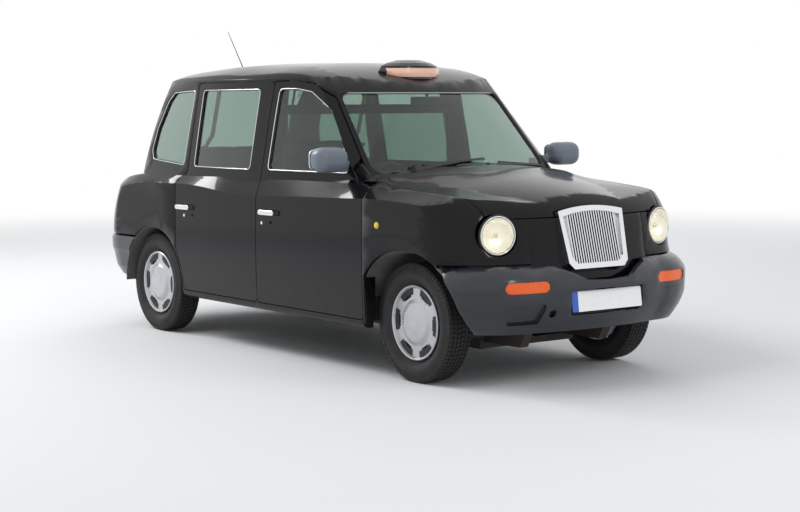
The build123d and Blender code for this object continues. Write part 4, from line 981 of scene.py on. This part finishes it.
def modelPad(name, centre, size, tilt, across, lengthwise, nodeName):
    pad = startBlock((0, 0, 0), [length - 2 * padForm["shrink"] for length in size])
    openEdit(pad, "EDGE")
    bpy.ops.mesh.select_all(action="SELECT")
    bpy.ops.mesh.bevel(offset=padForm["corner"], segments=4, affect="EDGES")
    closeEdit()
    evenFaces(pad, padForm["voxel"])
    swell(pad)
    longAxis = 2 if size[2] > size[0] else 0
    for width, depth in padForm["passes"]:
        for axis, levels in ((1, across), (longAxis, lengthwise)):
            for level in levels:
                openEdit(pad, "VERT")
                pickPoints(pad, lambda place: abs(place[axis] - level) < width)
                bpy.ops.transform.shrink_fatten(value=-padForm["channel"] * depth)
                closeEdit()
    smooth = pad.modifiers.new("padSmooth", "SUBSURF")
    smooth.levels = smooth.render_levels = 1
    applyAll(pad)
    bpy.ops.object.shade_smooth()
    pad.rotation_euler = (0, tilt, 0)
    pad.location = centre
    settle(pad, name, finishes["seat_fabric"], "body", (nodeName,))


for row in padRows:
    modelPad(*row)
print("pads modelled")

# Seat bases: moulded boxes, hollowed face by face
plinthForm = {"upright": 0.5, "rim": 0.018, "sink": 0.006, "edge": 0.004}


def modelPlinth(name, low, high, nodeName):
    middle = [(a + b) / 2 for a, b in zip(low, high)]
    base = startBlock(middle, [b - a for a, b in zip(low, high)])
    openEdit(base)
    pickFaces(base, lambda place, normal: abs(normal.z) < plinthForm["upright"])
    bpy.ops.mesh.inset(thickness=plinthForm["rim"], use_individual=True)
    bpy.ops.transform.shrink_fatten(value=-plinthForm["sink"])
    closeEdit()
    softEdges(base, plinthForm["edge"])
    settle(base, name, finishes["black_plastic"], "body", (nodeName,))


modelPlinth("driverPlinth", (0.25, -0.57, 0.336), (0.59, -0.17, 0.490), "driver_seat")
modelPlinth("benchApron", (-0.930, -0.54, 0.336), (-0.882, 0.54, 0.592), "rear_bench")
print("seat bases modelled")

# Small fittings: grille backing, mirror glass, door locks, pillar trim, nose apron and pipe bore
plateSizes = {
    # place, half sizes, tilt
    "grilleBacking": ((2.118, 0.0, 0.812), (0.004, 0.205, 0.148), -0.255),
    "mirrorPane": ((0.8205, 0.908, 1.241), (0.0035, 0.094, 0.060), 0.0),
    "noseApron": ((2.120, 0.0, 0.600), (0.004, 0.250, 0.042), 0.0),
}
plateShape = {"corner": 0.55, "edge": 0.0008}
discForm = {"sides": 28, "rim": 0.25, "sink": 0.3, "edge": 0.10, "facing": 0.9}
lockForm = {
    "front": (0.138, 0.9045, 0.836),
    "rear": (-0.830, 0.9045, 0.835),
    "radius": 0.0105,
    "depth": 0.006,
}
boreForm = {"place": (-2.2690, 0.190, 0.282), "radius": 0.0235, "depth": 0.003}
trimForm = {
    "place": (0.9825, 0.7010, 1.1225),
    "size": (0.365, 0.006, 0.185),
    "cornerAbove": 1.18,
    "cornerAhead": 1.1,
    "drawBack": 0.235,
    "edge": 0.0015,
}


def discPiece(name, place, radius, depth, axis, finish, body):
    # a turned button: disc raised, its face inset and pressed in
    clearSelection()
    turn = {"X": (0, math.pi / 2, 0), "Y": (math.pi / 2, 0, 0)}[axis]
    bpy.ops.mesh.primitive_cylinder_add(
        vertices=discForm["sides"], radius=radius, depth=depth, location=place, rotation=turn
    )
    disc = bpy.context.object
    bpy.ops.object.transform_apply(location=True, rotation=True, scale=True)
    openEdit(disc)
    pickFaces(disc, lambda point, normal: abs(normal["XYZ".index(axis)]) > discForm["facing"])
    bpy.ops.mesh.inset(thickness=radius * discForm["rim"], use_individual=True)
    bpy.ops.transform.shrink_fatten(value=-depth * discForm["sink"])
    closeEdit()
    softEdges(disc, radius * discForm["edge"])
    settle(disc, name, finish, body)


def ovalPlate(name, place, halves, tilt, finish, body, slotName):
    # a thin plate with well rounded corners
    plate = startBlock((0, 0, 0), [2 * half for half in halves])
    openEdit(plate, "EDGE")
    shape = bmesh.from_edit_mesh(plate.data)
    for edge in shape.edges:
        run = edge.verts[0].co - edge.verts[1].co
        edge.select_set(abs(run.x) > 0.5 * run.length)
    bmesh.update_edit_mesh(plate.data)
    corner = min(halves[1], halves[2]) * plateShape["corner"]
    bpy.ops.mesh.bevel(offset=corner, segments=6, affect="EDGES")
    closeEdit()
    plate.rotation_euler = (0, tilt, 0)
    plate.location = place
    makeActive(plate)
    bpy.ops.object.transform_apply(location=True, rotation=True, scale=True)
    softEdges(plate, plateShape["edge"])
    settle(plate, name, finish, body)


def modelPillarTrim(name, side):
    # wedge of trim that closes the foot of the screen pillar from inside
    x, y, z = trimForm["place"]
    wedge = startBlock((x, side * y, z), trimForm["size"])
    openEdit(wedge, "VERT")
    pickPoints(wedge, lambda place: place.z > trimForm["cornerAbove"] and place.x > trimForm["cornerAhead"])
    bpy.ops.transform.translate(value=(-trimForm["drawBack"], 0, 0))
    closeEdit()
    softEdges(wedge, trimForm["edge"])
    settle(wedge, name, finishes["black_plastic"], "body")


ovalPlate("grilleBacking", *plateSizes["grilleBacking"], rubberSeal, "body", "black_plastic")
for side, label in sides:
    (x, y, z), halves, tilt = plateSizes["mirrorPane"]
    ovalPlate("mirrorPane_" + label, (x, side * y, z), halves, tilt, looks["mirrorGlass"],
              "door_front_" + label, "chrome")
    for end in ("front", "rear"):
        x, y, z = lockForm[end]
        discPiece("doorLock_" + end + "_" + label, (x, side * y, z), lockForm["radius"], lockForm["depth"],
                  "Y", finishes["chrome"], "door_" + end + "_" + label)
for side, label in sides:
    modelPillarTrim("pillarTrim_" + label, side)
ovalPlate("noseApron", *plateSizes["noseApron"], rubberSeal, "body", "black_plastic")
discPiece("pipeBore", boreForm["place"], boreForm["radius"], boreForm["depth"], "X", rubberSeal,
          "body")
print("small fittings modelled")

# Wheel covers: thin dark plates between the lobes, standing for the openings there: partly the dark wheel
# behind, partly painted shade
openingShadeForm = {
    "outer": 0.1955,
    "inner": 0.1600,
    "steps": 144,
    "pitch": 60,
    "halfAngle": 17.5,
    "face": 0.0570,
    "thick": 0.0016,
}


# near-black plates on the cover face, painted shade for the openings between the lobes
def modelOpeningShades(setup):
    clearSelection()
    bpy.ops.mesh.primitive_circle_add(
        vertices=setup["steps"], radius=setup["outer"], rotation=(math.pi / 2, 0, 0)
    )
    ring = bpy.context.object
    bpy.ops.object.transform_apply(location=False, rotation=True, scale=False)
    openEdit(ring, "EDGE")
    bpy.ops.mesh.select_all(action="SELECT")
    bpy.ops.mesh.extrude_edges_move()
    share = setup["inner"] / setup["outer"]
    bpy.ops.transform.resize(value=(share, 1, share), center_override=(0, 0, 0))

    def inOpeningShade(place, normal):
        turn = math.degrees(math.atan2(place.z, place.x)) % setup["pitch"]
        return min(turn, setup["pitch"] - turn) <= setup["halfAngle"]

    keepFaces(ring, inOpeningShade)
    closeEdit()
    addWall(ring, "openingShadeWall", setup["thick"], 0.0)
    return ring


firstOpeningShades = modelOpeningShades(openingShadeForm)
for corner, place in wheelPlaces.items():
    windows = copyPiece(firstOpeningShades, "coverOpeningShade_" + corner)
    side = -1 if place[1] < 0 else 1
    windows.location = (place[0], place[1] + side * openingShadeForm["face"], place[2])
    settle(windows, "coverOpeningShade_" + corner, rubberSeal, "wheel_" + corner)
bpy.data.objects.remove(firstOpeningShades)
print("wheel covers dressed")
